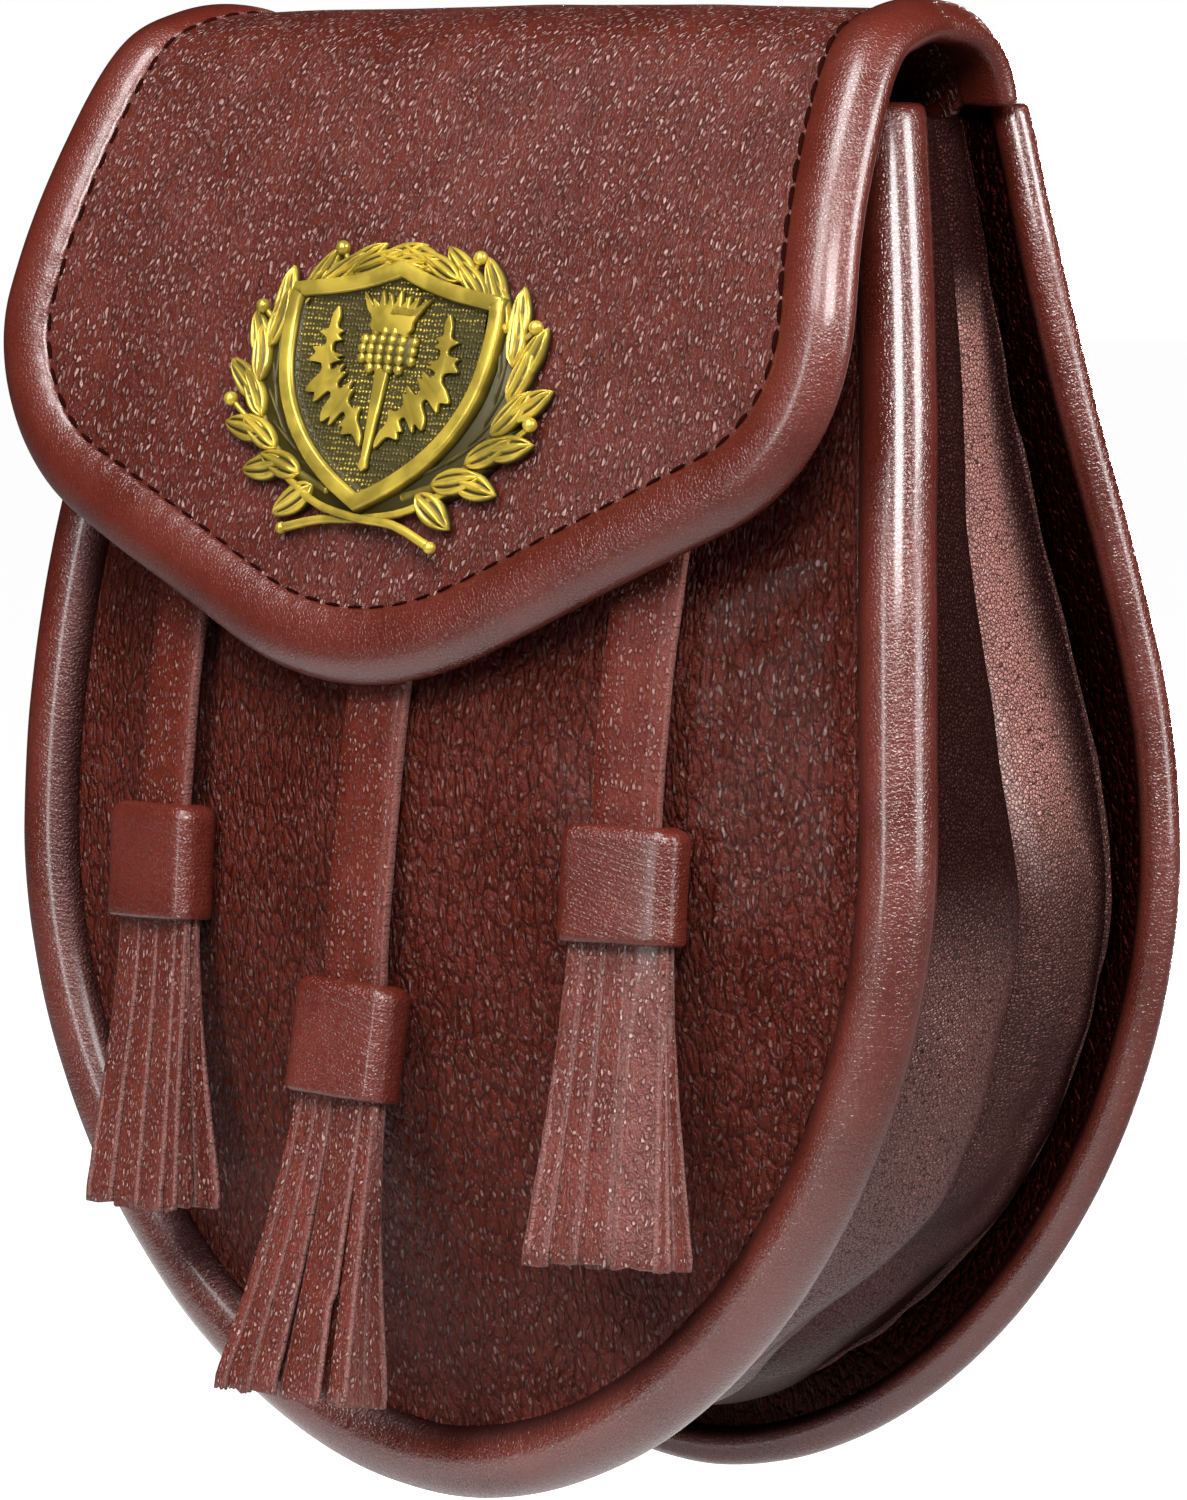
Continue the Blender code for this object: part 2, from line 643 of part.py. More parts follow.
def build_tassels(parent, smooth_leather, pebble_leather):
    """Straps, caps and fringes."""
    for tassel in TASSELS:
        low = tassel.cap_top - CAP_LIP - STRAP_INSERT
        stations = [(STRAP_WIDTH / 2, STRAP_TOP + (low - STRAP_TOP) * k / 10) for k in range(11)]
        sheet("strap_" + tassel.name, stations,
              lambda x, height, item=tassel: strap_surface(item, x, height),
              2, STRAP_WALL, pebble_leather, parent)
        holder = bpy.data.objects.new("tassel_" + tassel.name, None)
        bpy.context.scene.collection.objects.link(holder)
        holder.parent = parent
        seat = strap_surface(tassel, 0.0, tassel.cap_top)
        holder.location = (seat + Vector((0.0, STRAP_WALL / 2, 0.0))) * MM
        holder.rotation_euler = (math.radians(-tassel.lean), math.radians(tassel.roll),
                                 math.radians(tassel.yaw))
        build_cap(tassel, holder, smooth_leather)
        build_skirt(tassel, holder, pebble_leather)


# ---- badge: local x to the right, y up the flap, z out of it ----
def shield_outline(inset):
    """Edge of the shield, moved in: its right half from peak to tip, then its left half."""
    half, top = SHIELD_HALF - inset, SHIELD_TOP - inset
    peak, tip = SHIELD_PEAK - inset * 1.1, SHIELD_TIP + inset * 1.6
    right = [Vector((0.0, peak)), Vector((half * 0.5, (peak + top) / 2 - 0.7)), Vector((half, top))]
    for step in range(1, 8):
        t = step / 7
        right.append(Vector((half * (1.0 - t**2.1) + 1.2 * math.sin(math.pi * t) * (1 - t),
                             top + (tip - top) * t)))
    right[-1].x = 0.0
    return right + [Vector((-p.x, p.y)) for p in right[-2:0:-1]]


def prism(bm, outline, low, high):
    """Solid with upright sides from a flat outline."""
    capped(bm, [[Vector((x, y, z)) for x, y in outline] for z in (low, high)])


def add_shield(bm):
    """Shield with a raised flat rim round a sunk field."""
    outer, inner = shield_outline(0.0), shield_outline(SHIELD_RIM)
    rings = [(outer, 0.3), (outer, SHIELD_RIM_HEIGHT - 0.3), (shield_outline(0.3), SHIELD_RIM_HEIGHT),
             (inner, SHIELD_RIM_HEIGHT), (shield_outline(SHIELD_RIM + 0.2), SHIELD_FIELD_HEIGHT)]
    capped(bm, [[Vector((p.x, p.y, z)) for p in ring] for ring, z in rings])


def add_leaf(bm, root, turn, length, width, low, high):
    """Pointed leaf with a ridge along its middle."""
    along = Vector((math.cos(turn), math.sin(turn)))
    across = Vector((-along.y, along.x))
    rings = []
    for z, size in ((low, 1.0), ((low + high) / 2, 1.0), (high, 0.35)):
        start, reach = root + along * length * 0.5 * (1 - size), length * size
        half = width / 2 * size
        rings.append([Vector((*(start + along * reach * a + across * half * b), z))
                      for a, b in ((0.0, 0.0), (0.3, 1.0), (0.65, 0.9), (1.0, 0.0), (0.65, -0.9),
                                   (0.3, -1.0))])
    capped(bm, rings)


def add_wreath(bm):
    """Two branches of leaf pairs that rise from the crossed stems and meet at the top."""
    across, up = WREATH_HALF
    for side in (-1, 1):
        for pair in range(LEAF_PAIRS):
            turn = math.radians(LEAF_FIRST + (LEAF_LAST - LEAF_FIRST) * pair / (LEAF_PAIRS - 1))
            root = Vector((side * across * math.cos(turn), WREATH_MIDDLE + up * math.sin(turn)))
            heading = Vector((-side * across * math.sin(turn), up * math.cos(turn))).normalized()
            beside = Vector((heading.y, -heading.x))
            course = math.atan2(heading.y, heading.x)
            for splay, share, drop in LEAF_SPLAYS:
                start = root - beside * side * splay * 0.8
                add_leaf(bm, start, course + side * splay, LEAF_LENGTH * share, LEAF_WIDTH,
                         0.4 + 0.1 * drop, LEAF_HEIGHT - drop)
        for x, y in BERRIES:
            bmesh.ops.create_icosphere(bm, subdivisions=1, radius=BERRY_RADIUS,
                                       matrix=Matrix.Translation((side * x, y, 1.0)))
        outline = [(side * x, y + 0.75) for x, y in STEM]
        outline += [(side * x, y - 0.75) for x, y in reversed(STEM)]
        prism(bm, outline, 0.5, 2.3 + 0.2 * side)


def add_thistle(bm):
    """Thistle head on its stem between two toothed leaves."""
    low = SHIELD_FIELD_HEIGHT - 0.4
    x, y, across, up = BULB
    bmesh.ops.create_uvsphere(bm, u_segments=10, v_segments=6, radius=1.0,
                              matrix=Matrix.Translation((x, y, low))
                              @ Matrix.Diagonal((across, up, 1.5, 1.0)))
    prism(bm, PETALS, low + 0.1, RELIEF_HEIGHT)
    prism(bm, ((-0.8, 4.6), (0.8, 4.6), (0.6, -8.8), (-0.6, -8.8)), low + 0.2, RELIEF_HEIGHT - 0.1)
    for side in (-1, 1):
        prism(bm, [(side * x, y) for x, y in THISTLE_LEAF], low + 0.15, RELIEF_HEIGHT - 0.15)


def build_badge(parent, material):
    """One casting: plate, wreath, shield and thistle."""
    centre, upper, lower = (flap_surface(0.0, flap_along(BADGE_HEIGHT + step))
                            for step in (0.0, 16.0, -14.0))
    rise = (upper - lower).normalized()
    holder = bpy.data.objects.new("badge_seat", None)
    bpy.context.scene.collection.objects.link(holder)
    holder.parent = parent
    right = Vector((1.0, 0.0, 0.0))
    outward = right.cross(rise).normalized()
    turn = Matrix((right, rise, outward)).transposed().to_4x4() @ Matrix.Rotation(BADGE_TURN, 4, "Z")
    holder.matrix_local = Matrix.Translation((centre + outward * (GAP + 0.2)) * MM) @ turn

    bm = bmesh.new()
    bmesh.ops.create_cone(bm, cap_ends=True, segments=32, radius1=1.0, radius2=0.97, depth=PLATE,
                          matrix=Matrix.Translation((0.0, WREATH_MIDDLE, PLATE / 2))
                          @ Matrix.Diagonal((*PLATE_HALF, 1.0, 1.0)))
    badge = add_object("badge", bm, material, holder, rounded=False)
    bm = bmesh.new()
    add_shield(bm)
    add_wreath(bm)
    add_thistle(bm)
    relief = add_object("badge_relief", bm, material, holder, rounded=False)
    relief.hide_render = True
    relief.display_type = "WIRE"
    fuse = badge.modifiers.new("relief", "BOOLEAN")
    fuse.operation = "UNION"
    fuse.object = relief
    fuse.use_self = True


# ---- belt loop ----
def build_belt_loop(parent, material):
    """Plain strip across the back, open from side to side for a belt."""
    face = WALL / 2 + GAP + 0.2
    sewn = [LoopPoint("lower end", back_y(98.0) + face, 98.0),
            LoopPoint("lower seam", back_y(107.0) + face, 107.0),
            LoopPoint("lower bend", LOOP_STAND, 114.0),
            LoopPoint("upper bend", LOOP_STAND, 144.0),
            LoopPoint("upper seam", back_y(153.0) + face, 153.0),
            LoopPoint("upper end", back_y(161.0) + face, 161.0)]
    line = [(point.z, point.stand + LOOP_WALL / 2) for point in sewn]
    section = thickened(line, LOOP_WALL)
    frames = [Frame(Vector((x, 0.0, 0.0)), Vector((0, 0, 1)), Vector((0, -1, 0)))
              for x in (-LOOP_HALF_WIDTH, LOOP_HALF_WIDTH)]
    sweep("belt_loop", frames, [section] * 2, material, parent)


def main():
    for thing in list(bpy.data.objects):
        bpy.data.objects.remove(thing, do_unlink=True)
    hang = bpy.data.objects.new("hang_point", None)
    bpy.context.scene.collection.objects.link(hang)
    hang.location = -HANG_POINT * MM

    smooth_leather = leather("smooth_oxblood", (0.155, 0.045, 0.038), 0.38)
    pebble_leather = leather("pebble_oxblood", (0.135, 0.040, 0.034), 0.45)
    build_body(hang, smooth_leather, pebble_leather)
    build_flap(hang, smooth_leather, pebble_leather)
    build_tassels(hang, smooth_leather, pebble_leather)
    build_badge(hang, brass("antique_brass"))
    build_belt_loop(hang, smooth_leather)


main()
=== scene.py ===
"""Leather day sporran: detailed pieces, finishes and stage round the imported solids."""

import math
import random
from collections import namedtuple

import bmesh
import bpy
from bpy.props import FloatProperty, FloatVectorProperty, IntProperty, PointerProperty
from bpy.types import Operator, Panel, PropertyGroup
from mathutils import Matrix, Vector, noise


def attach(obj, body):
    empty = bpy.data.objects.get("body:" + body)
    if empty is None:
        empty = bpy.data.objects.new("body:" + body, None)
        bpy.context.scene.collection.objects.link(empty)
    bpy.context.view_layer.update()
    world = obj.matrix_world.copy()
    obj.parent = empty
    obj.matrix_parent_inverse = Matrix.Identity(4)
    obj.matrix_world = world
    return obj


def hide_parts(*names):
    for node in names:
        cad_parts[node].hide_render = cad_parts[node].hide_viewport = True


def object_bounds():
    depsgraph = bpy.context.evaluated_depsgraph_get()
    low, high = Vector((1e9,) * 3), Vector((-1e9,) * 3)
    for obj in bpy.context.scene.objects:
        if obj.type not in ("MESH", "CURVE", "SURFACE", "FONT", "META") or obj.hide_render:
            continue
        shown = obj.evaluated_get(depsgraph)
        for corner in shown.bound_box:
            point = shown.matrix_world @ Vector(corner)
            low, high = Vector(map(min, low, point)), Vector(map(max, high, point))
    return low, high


bl_info = {
    "name": "Leather Sporran",
    "version": (1, 0, 0),
    "blender": (4, 5, 0),
    "location": "3D View > Sidebar > Sporran",
    "description": "Day sporran with a bellows gusset, strap tassels and a thistle badge",
    "category": "Object",
}

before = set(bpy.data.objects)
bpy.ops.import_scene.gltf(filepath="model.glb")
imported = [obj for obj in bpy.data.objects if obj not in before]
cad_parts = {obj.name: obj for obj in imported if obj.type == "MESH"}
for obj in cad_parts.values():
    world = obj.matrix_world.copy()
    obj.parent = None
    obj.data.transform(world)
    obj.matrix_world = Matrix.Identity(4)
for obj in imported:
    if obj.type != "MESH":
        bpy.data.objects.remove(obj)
CAD_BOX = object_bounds()

MM = 0.001
HANG_POINT = Vector((0.0, 24.2, 129.0))     # the model's origin, in the pouch's own millimetres

# ---- shapes shared with the solids, in millimetres from the pouch's lowest edge ----
TOP_HEIGHT = 175.7
WIDEST_HEIGHT = 83.7
LOWEST_HEIGHT = 5.0
WIDEST_HALF = 69.4
TOP_HALF = 55.3
SIDE_POWER = 1.78
BOTTOM_POWER = 1.88
SIDE_STEPS = 44
BOTTOM_STEPS = 50

Depth = namedtuple("Depth", "height front back")
DEPTHS = (
    Depth(0.0, -24.7, 25.0),
    Depth(84.0, -24.7, 25.0),
    Depth(98.7, -24.1, 23.9),
    Depth(118.7, -21.8, 19.4),
    Depth(138.7, -17.8, 14.7),
    Depth(158.7, -13.4, 12.3),
    Depth(176.0, -9.6, 12.1),
)

WALL = 2.0
FRONT_ROLL_RADIUS = 4.9
BACK_ROLL_RADIUS = 2.7
BACK_ROLL_OUT = 2.3
FRONT_EDGE_INSET = 4.3          # the panel's edge is caught inside the roll
FRONT_EDGE_FORWARD = 1.9
DOME = 15.6
DOME_HEIGHT = 80.0
DOME_ACROSS_POWER = 1.45
DOME_UP_POWER = 1.2

Roll = namedtuple("Roll", "name node radius sides swells end shade")
# Each swell or dent is a size, a seed and a height. Shade is how far in the painted shade on the
# roll's inner side reaches, in radii.
FRONT_ROLL = Roll("front_roll", "front_binding", FRONT_ROLL_RADIUS, 28,
                  ((13.0, 1.7, 0.018), (4.5, 6.0, 0.008)), 0.5, 1.15)
BACK_ROLL = Roll("back_roll", "back_binding", BACK_ROLL_RADIUS, 20,
                 ((9.0, 4.1, 0.03), (3.5, 2.0, 0.015)), 0.35, 0.8)
FRONT_DENTS = ((26.0, 3.1, 0.9), (11.0, 8.4, 0.28))
BACK_DENTS = ((30.0, 9.1, 0.5), (9.0, 2.3, 0.12))
FLAP_DENTS = ((30.0, 2.2, 0.5), (12.0, 7.7, 0.12))

GUSSET_WALL = 1.4
GUSSET_TOP = 174.2
Fold = namedtuple("Fold", "height wall valley swell raw")     # wall's length; others inwards
FOLDS = (
    Fold(5.0, 11.0, 6.5, 4.6, 5.4),
    Fold(25.0, 16.0, 8.0, 4.8, 5.2),
    Fold(36.0, 23.0, 8.6, 3.9, 4.2),
    Fold(60.0, 25.0, 9.0, 3.7, 3.8),
    Fold(74.0, 24.0, 9.6, 4.2, 3.8),
    Fold(86.0, 20.9, 10.4, 5.4, 4.9),
    Fold(104.0, 17.0, 11.2, 7.4, 6.6),
    Fold(123.0, 12.6, 11.4, 8.0, 6.9),
    Fold(146.0, 10.9, 9.4, 6.6, 5.7),
    Fold(159.0, 9.7, 7.6, 5.2, 4.9),
    Fold(176.0, 8.6, 6.0, 4.0, 4.4),
)

FLAP_WALL = 2.2
ArchPoint = namedtuple("ArchPoint", "name y z")
FLAP_PROFILE = (
    ArchPoint("tail end", 10.6, 160.0),
    ArchPoint("tail", 10.7, 170.0),
    ArchPoint("rear shoulder", 8.8, 180.3),
    ArchPoint("rear of crown", 3.6, 186.0),
    ArchPoint("crown", -5.0, 187.7),
    ArchPoint("front of crown", -13.2, 186.6),
    ArchPoint("front shoulder", -20.2, 183.2),
    ArchPoint("upper front", -26.9, 173.7),
    ArchPoint("above badge", -33.8, 158.7),
    ArchPoint("behind badge", -39.3, 138.7),
    ArchPoint("below badge", -44.3, 118.7),
    ArchPoint("tip", -47.0, 107.0),
)
CROWN_BULGE = 0.8
FLAP_EDGE_HALF = 53.4
FLAP_TAIL_HALF = 49.0
FLAP_CORNER = (62.3, 138.3)
FLAP_TIP_HEIGHT = 108.9
FLAP_CORNER_RADIUS = 19.0
FLAP_TIP_RADIUS = 37.0
FLAP_SETBACK = 2.2
FLAP_BINDING_HEIGHT = 176.4
BINDING_SECTION = (             # out from the stitch line, up from the flap's face
    (-0.2, -0.3), (-0.1, 0.35), (0.7, 0.85), (2.2, 1.25), (4.2, 1.35), (6.2, 0.85), (7.9, -0.35),
    (8.9, -1.9), (8.7, -3.3), (7.4, -4.2), (5.0, -4.1), (2.4, -3.3), (0.2, -2.6),
)

STRAP_WIDTH = 9.5
STRAP_WALL = 1.7
STRAP_TOP = 150.0
Hang = namedtuple("Hang", "height side centre")
HANGS = (
    Hang(0.0, 3.5, 3.5),
    Hang(12.0, 3.2, 1.9),
    Hang(24.0, 3.3, 0.8),
    Hang(36.0, 3.4, 0.5),
    Hang(48.0, 2.4, 0.7),
    Hang(62.0, 1.2, 0.7),
)
CAP_WALL = 1.4
CAP_LIP = 1.4
CAP_THICKNESS = 6.2
CAP_HEIGHT = 14.7
STRAP_INSERT = 2.4
Tassel = namedtuple("Tassel", "name x cap_top cap_width yaw lean roll fringe width depth sway "
                              "front_strips")
TASSELS = (
    Tassel("left", -38.3, 87.3, 16.8, -11.0, 3.0, 0.0, 36.8, 19.4, 7.6, 0.5,
           (5.6, 4.8, 5.2, 2.4)),
    Tassel("centre", 0.0, 66.8, 16.0, 0.0, 6.0, 4.1, 38.0, 21.6, 8.6, -0.9,
           (2.0, 4.0, 3.9, 8.6, 3.1)),
    Tassel("right", 38.3, 87.3, 16.8, 11.0, 4.0, 1.2, 40.0, 20.0, 8.0, 0.2,
           (3.7, 3.9, 4.6, 7.0)),
)
FLARED_STRIP, NOTCHED_STRIP = 7.0, 8.6      # the widths of two odd strips
HIDDEN_STRIPS = (               # widths, side, spread of the rows behind the front one
    ((5.2, 3.1, 4.4, 6.0), 1, 1.0), ((5.2, 6.4, 5.8), -0.30, 0.84), ((6.8, 5.3), 0.32, 0.84),
)
FRINGE_WALL = 0.85
FRINGE_STEPS = 26

BADGE_HEIGHT = 137.7
BADGE_TURN = math.radians(-3.0)
SHIELD_BROW = ((0.0, 18.6), (4.6, 17.1), (9.4, 16.0), (17.4, 14.9))     # right half, from the peak
SHIELD_FLANK = ((17.4, 14.9), (17.8, 11.0), (17.5, 6.0), (16.5, 1.8), (14.8, -1.7), (12.5, -4.9),
                (9.2, -8.1), (5.0, -11.0), (0.0, -13.6))
SHIELD_RINGS = (                # moved in, height, relief, stipple
    (0.0, 0.2, 0.15, 0.0), (0.0, 2.5, 0.45, 0.0), (0.12, 2.85, 0.95, 0.0), (0.35, 3.0, 1.0, 0.0),
    (1.70, 3.0, 1.0, 0.0), (1.95, 2.85, 0.9, 0.0), (2.10, 2.2, 0.15, 0.0), (2.20, 1.9, 0.05, 1.0),
    (3.00, 1.9, 0.16, 1.0),
)
THISTLE_SCALES = ((4.7, 4, 2.6), (5.9, 6, 4.1), (7.1, 6, 4.5), (8.3, 6, 4.1), (9.4, 4, 2.6))
THISTLE_VASE = ((-2.9, 9.3), (-3.3, 10.8), (-3.9, 12.2), (-2.0, 12.7), (0.0, 12.9), (2.0, 12.7),
                (4.1, 12.2), (3.5, 10.8), (3.0, 9.3))
THISTLE_FLAMES = (              # foot, then tip across and up
    (-3.2, -5.3, 14.1), (-2.7, -3.7, 13.5), (-1.8, -2.3, 14.5), (-0.7, -0.9, 14.1),
    (0.3, 0.7, 14.6), (1.4, 2.2, 14.0), (2.4, 3.7, 14.0), (3.2, 5.6, 13.8),
)
THISTLE_STEM = ((-1.05, 4.6), (-0.75, -1.5), (-0.5, -6.8), (-0.75, -7.9), (0.0, -8.5), (0.75, -7.9),
                (0.5, -6.8), (0.75, -1.5), (1.05, 4.6))
LEAF_RIB = ((0.9, -5.2), (3.8, -1.4), (7.0, 1.2), (9.4, 4.2), (9.6, 8.0), (9.2, 12.2))
LEAF_LOBES = (                  # place along the rib, distance from it: up and down again
    (0.00, 0.45), (0.09, 0.8), (0.13, 2.4), (0.16, 1.7), (0.19, 2.1), (0.21, 0.7), (0.26, 0.9),
    (0.27, 3.4), (0.31, 2.4), (0.34, 3.9), (0.38, 2.7), (0.40, 0.8), (0.45, 0.9), (0.46, 3.4),
    (0.50, 2.6), (0.54, 3.8), (0.57, 2.4), (0.59, 0.8), (0.64, 0.8), (0.66, 2.8), (0.70, 1.9),
    (0.73, 2.5), (0.75, 0.7), (0.80, 0.7), (0.83, 2.0), (0.86, 0.7), (0.93, 0.7), (1.0, 0.1),
    (0.94, -0.6), (0.88, -0.6), (0.86, -1.7), (0.83, -1.1), (0.80, -1.8), (0.78, -0.7),
    (0.72, -0.8), (0.70, -2.6), (0.67, -1.7), (0.64, -2.3), (0.62, -0.8), (0.56, -0.9),
    (0.54, -2.8), (0.50, -1.9), (0.46, -2.6), (0.44, -0.9), (0.39, -0.9), (0.36, -2.8),
    (0.33, -1.8), (0.30, -2.2), (0.28, -0.8), (0.22, -0.7), (0.19, -1.7), (0.15, -0.6),
    (0.06, -0.5),
)
WREATH_MIDDLE, WREATH_ACROSS, WREATH_UP = 3.3, 21.0, 15.0
BERRIES = ((11.5, 19.8), (22.8, 11.6), (25.0, -0.6))
# A leaf's splay, length, width and height: at the branch's foot, and the change up to its top.
LeafRow = namedtuple("LeafRow", "start stop scale bright more foot change")
LEAF_ROWS = (
    LeafRow(-66.0, 74.0, 1.01, 1.0, 0, (-0.86, 7.4, 3.7, 1.0), (0.70, 1.2, -0.7, 0.0)),
    LeafRow(-58.0, 82.0, 0.99, 1.0, 0, (-0.16, 7.6, 3.4, 1.3), (0.06, 0.8, -0.7, 0.0)),
    LeafRow(-64.0, 84.0, 0.88, 0.22, 3, (0.12, 8.6, 2.6, 0.3), (0.0, 0.0, 0.0, 0.0)),
)

LOOP_HALF_WIDTH = 34.0
LOOP_WALL = 2.0
LOOP_STAND = 27.2
LOOP_SEAMS = (102.0, 157.5)
LOOP_LINE = (                   # sewn down, height
    (True, 97.8), (True, 102.5), (True, 107.0), (False, 114.0), (False, 129.0), (False, 144.0),
    (True, 153.0), (True, 157.5), (True, 161.2),
)

Frame = namedtuple("Frame", "point out face")
Ring = namedtuple("Ring", "points marks")

PHOTO_HEIGHT = 1500
CAMERA_PIXELS = 11760.0         # focal length in the photo's pixels
CAMERA_TARGET = (Vector((0.0, 0.0, 93.7)) - HANG_POINT) * MM
CAMERA_PLACE = (40.0, 3.0, 1.5)             # azimuth, elevation, distance in metres
LIT_POINT = Vector((0.0, 0.0, -0.035))
LIGHT_DISTANCE = 1.4
Softbox = namedtuple("Softbox", "name azimuth elevation width tall power")
SOFTBOXES = (                   # angles in degrees, sizes in metres, power as a share of the key's
    Softbox("key_softbox", 40.0, 30.0, 0.5, 0.5, 1.0),
    Softbox("side_softbox", 100.0, 30.0, 0.5, 0.5, 0.85),
    Softbox("side_low_softbox", 100.0, 5.0, 0.5, 0.5, 0.30),
    Softbox("strip_softbox", -3.0, 3.0, 0.2, 0.8, 0.26),
    Softbox("front_softbox", 0.0, 36.0, 0.5, 0.5, 0.42),
    Softbox("top_softbox", 0.0, 60.0, 0.5, 0.5, 0.65),
    Softbox("rim_softbox", 200.0, 5.0, 0.5, 0.5, 4.2),
)


# ---- settings ----
def colour_setting(name, description, default):
    return FloatVectorProperty(name=name, description=description, subtype="COLOR", size=3,
                               min=0.0, max=1.0, default=default)


def size_setting(name, description, default, low, high):
    return FloatProperty(name=name, description=description + ", in millimetres", default=default,
                         min=low, max=high)


class SporranLeather(PropertyGroup):
    """Colours and grain of the leather."""
    pebble_colour: colour_setting("Pebble Colour", "Grained leather of flap, front and straps",
                                  (0.082, 0.0100, 0.0046))
    smooth_colour: colour_setting("Edge Colour", "Smooth leather of the rolls, caps and gusset",
                                  (0.082, 0.0104, 0.0052))
    # Painted shade: near-black colour laid into creases, folds and faces that lie in shade.
    painted_shade_colour: colour_setting("Crease Colour", "Dye gathered in the creases",
                                  (0.012, 0.0008, 0.0005))
    # Painted highlight: pale colour laid on the raised grain tips and on the gusset's lit side in
    # place of glints.
    painted_highlight_colour: colour_setting("Tip Colour", "Polished tips of the grain, which catch the light",
                               (0.58, 0.345, 0.305))
    cut_colour: colour_setting("Cut Edge Colour", "Raw edges of straps and strips",
                               (0.22, 0.082, 0.068))
    flap_grain: size_setting("Flap Grain", "From one raised tip to the next on the flap", 0.98,
                             0.3, 4.0)
    front_grain: size_setting("Front Grain", "Width of a pebble on the front", 1.7, 0.3, 4.0)


class SporranStitch(PropertyGroup):
    """Sewing thread."""
    pitch: size_setting("Pitch", "From one stitch to the next", 3.7, 1.0, 8.0)
    length: size_setting("Length", "Visible length of a stitch", 2.5, 0.5, 6.0)
    thread: size_setting("Thread", "Thickness of the thread", 0.72, 0.1, 1.5)
    colour: colour_setting("Colour", "Thread colour", (0.010, 0.0020, 0.0015))


class SporranBadge(PropertyGroup):
    """Cast badge."""
    metal_colour: colour_setting("Brass", "Polished brass on the high parts", (0.64, 0.47, 0.065))
    patina_colour: colour_setting("Patina", "Darkened brass in the hollows", (0.040, 0.030, 0.003))
    leaf_pairs: IntProperty(
        name="Leaf Pairs", description="Pairs of leaves on each branch of the wreath",
        min=3, max=14, default=9)


class SporranStage(PropertyGroup):
    """Floor and lights."""
    floor_drop: FloatProperty(
        name="Floor Drop", description="Floor below the hanging pouch", unit="LENGTH",
        min=0.0, max=1.0, default=0.012)
    floor_colour: colour_setting("Floor Colour", "Pale studio floor", (0.55, 0.55, 0.55))
    key_power: FloatProperty(
        name="Key Power", description="Softbox at the right, in watts", min=0.0, max=500.0,
        default=20.0)


def settings(kind):
    return getattr(bpy.context.scene, "sporran_" + kind)


# ---- curves ----
def smooth(rows, column, height):
    """Value of a named column at a height, on a smooth curve through the rows."""
    if height <= rows[0].height:
        return getattr(rows[0], column)
    if height >= rows[-1].height:
        return getattr(rows[-1], column)
    heights = [row.height for row in rows]
    values = [getattr(row, column) for row in rows]
    slopes = [(b - a) / (q - p) for a, b, p, q in zip(values, values[1:], heights, heights[1:])]
    tangents = [slopes[0]] + [(a + b) / 2 for a, b in zip(slopes, slopes[1:])] + [slopes[-1]]
    low = max(k for k in range(len(rows) - 1) if heights[k] <= height)
    span = heights[low + 1] - heights[low]
    t = (height - heights[low]) / span
    return (values[low] * (2 * t**3 - 3 * t**2 + 1) + tangents[low] * span * (t**3 - 2 * t**2 + t)
            + values[low + 1] * (3 * t**2 - 2 * t**3) + tangents[low + 1] * span * (t**3 - t**2))


def front_y(height):
    return smooth(DEPTHS, "front", height)


def back_y(height):
    return smooth(DEPTHS, "back", height)


def ease(value):
    """Smooth step from 0 to 1."""
    value = min(max(value, 0.0), 1.0)
    return value * value * (3.0 - 2.0 * value)


def bell(value, middle, width):
    """Bump of height 1 over a middle, a few widths wide."""
    return math.exp(-((value - middle) / width) ** 2)


def heading_at(points, index):
    """Direction of a line of points at one of them."""
    return (points[min(index + 1, len(points) - 1)] - points[max(index - 1, 0)]).normalized()


def bend(a, b, c, d, t):
    """Point of a smooth curve between b and c."""
    return 0.5 * (2 * b + (c - a) * t + (2 * a - 5 * b + 4 * c - d) * t**2
                  + (3 * b - a - 3 * c + d) * t**3)


def through(points, steps):
    """Points of a smooth open curve through the given ones, `steps` to each stretch."""
    ends = [points[0] * 2 - points[1], *points, points[-1] * 2 - points[-2]]
    curve = [bend(*four, step / steps) for four in zip(ends, ends[1:], ends[2:], ends[3:])
             for step in range(steps)]
    return curve + [points[-1].copy()]


def closed_curve(points, steps):
    """Points of a smooth closed curve through the given ones."""
    points = [Vector(point) for point in points]
    count = len(points)
    return [bend(points[k - 1], points[k], points[(k + 1) % count], points[(k + 2) % count],
                 step / steps) for k in range(count) for step in range(steps)]


def wander(point, size, seed=0.0):
    """Slow random variation over a surface, from -1 to 1."""
    return noise.noise(Vector(point) / size + Vector((seed, seed * 0.7, -seed)))


def waves(point, rows, start=0.0):
    """Sum of slow variations over a surface; each row is a size, a seed and a height."""
    return sum((tall * wander(point, size, seed) for size, seed, tall in rows), start)


def fillet(before, corner, after, radius, steps):
    """Points of a round between two straight edges, from the first edge to the second."""
    first, second = (before - corner).normalized(), (after - corner).normalized()
    half = first.angle(second) / 2
    centre = corner + (first + second).normalized() * radius / math.sin(half)
    start = (corner + first * radius / math.tan(half) - centre).normalized()
    end = (corner + second * radius / math.tan(half) - centre).normalized()
    return [centre + start.slerp(end, step / steps) * radius for step in range(steps + 1)]


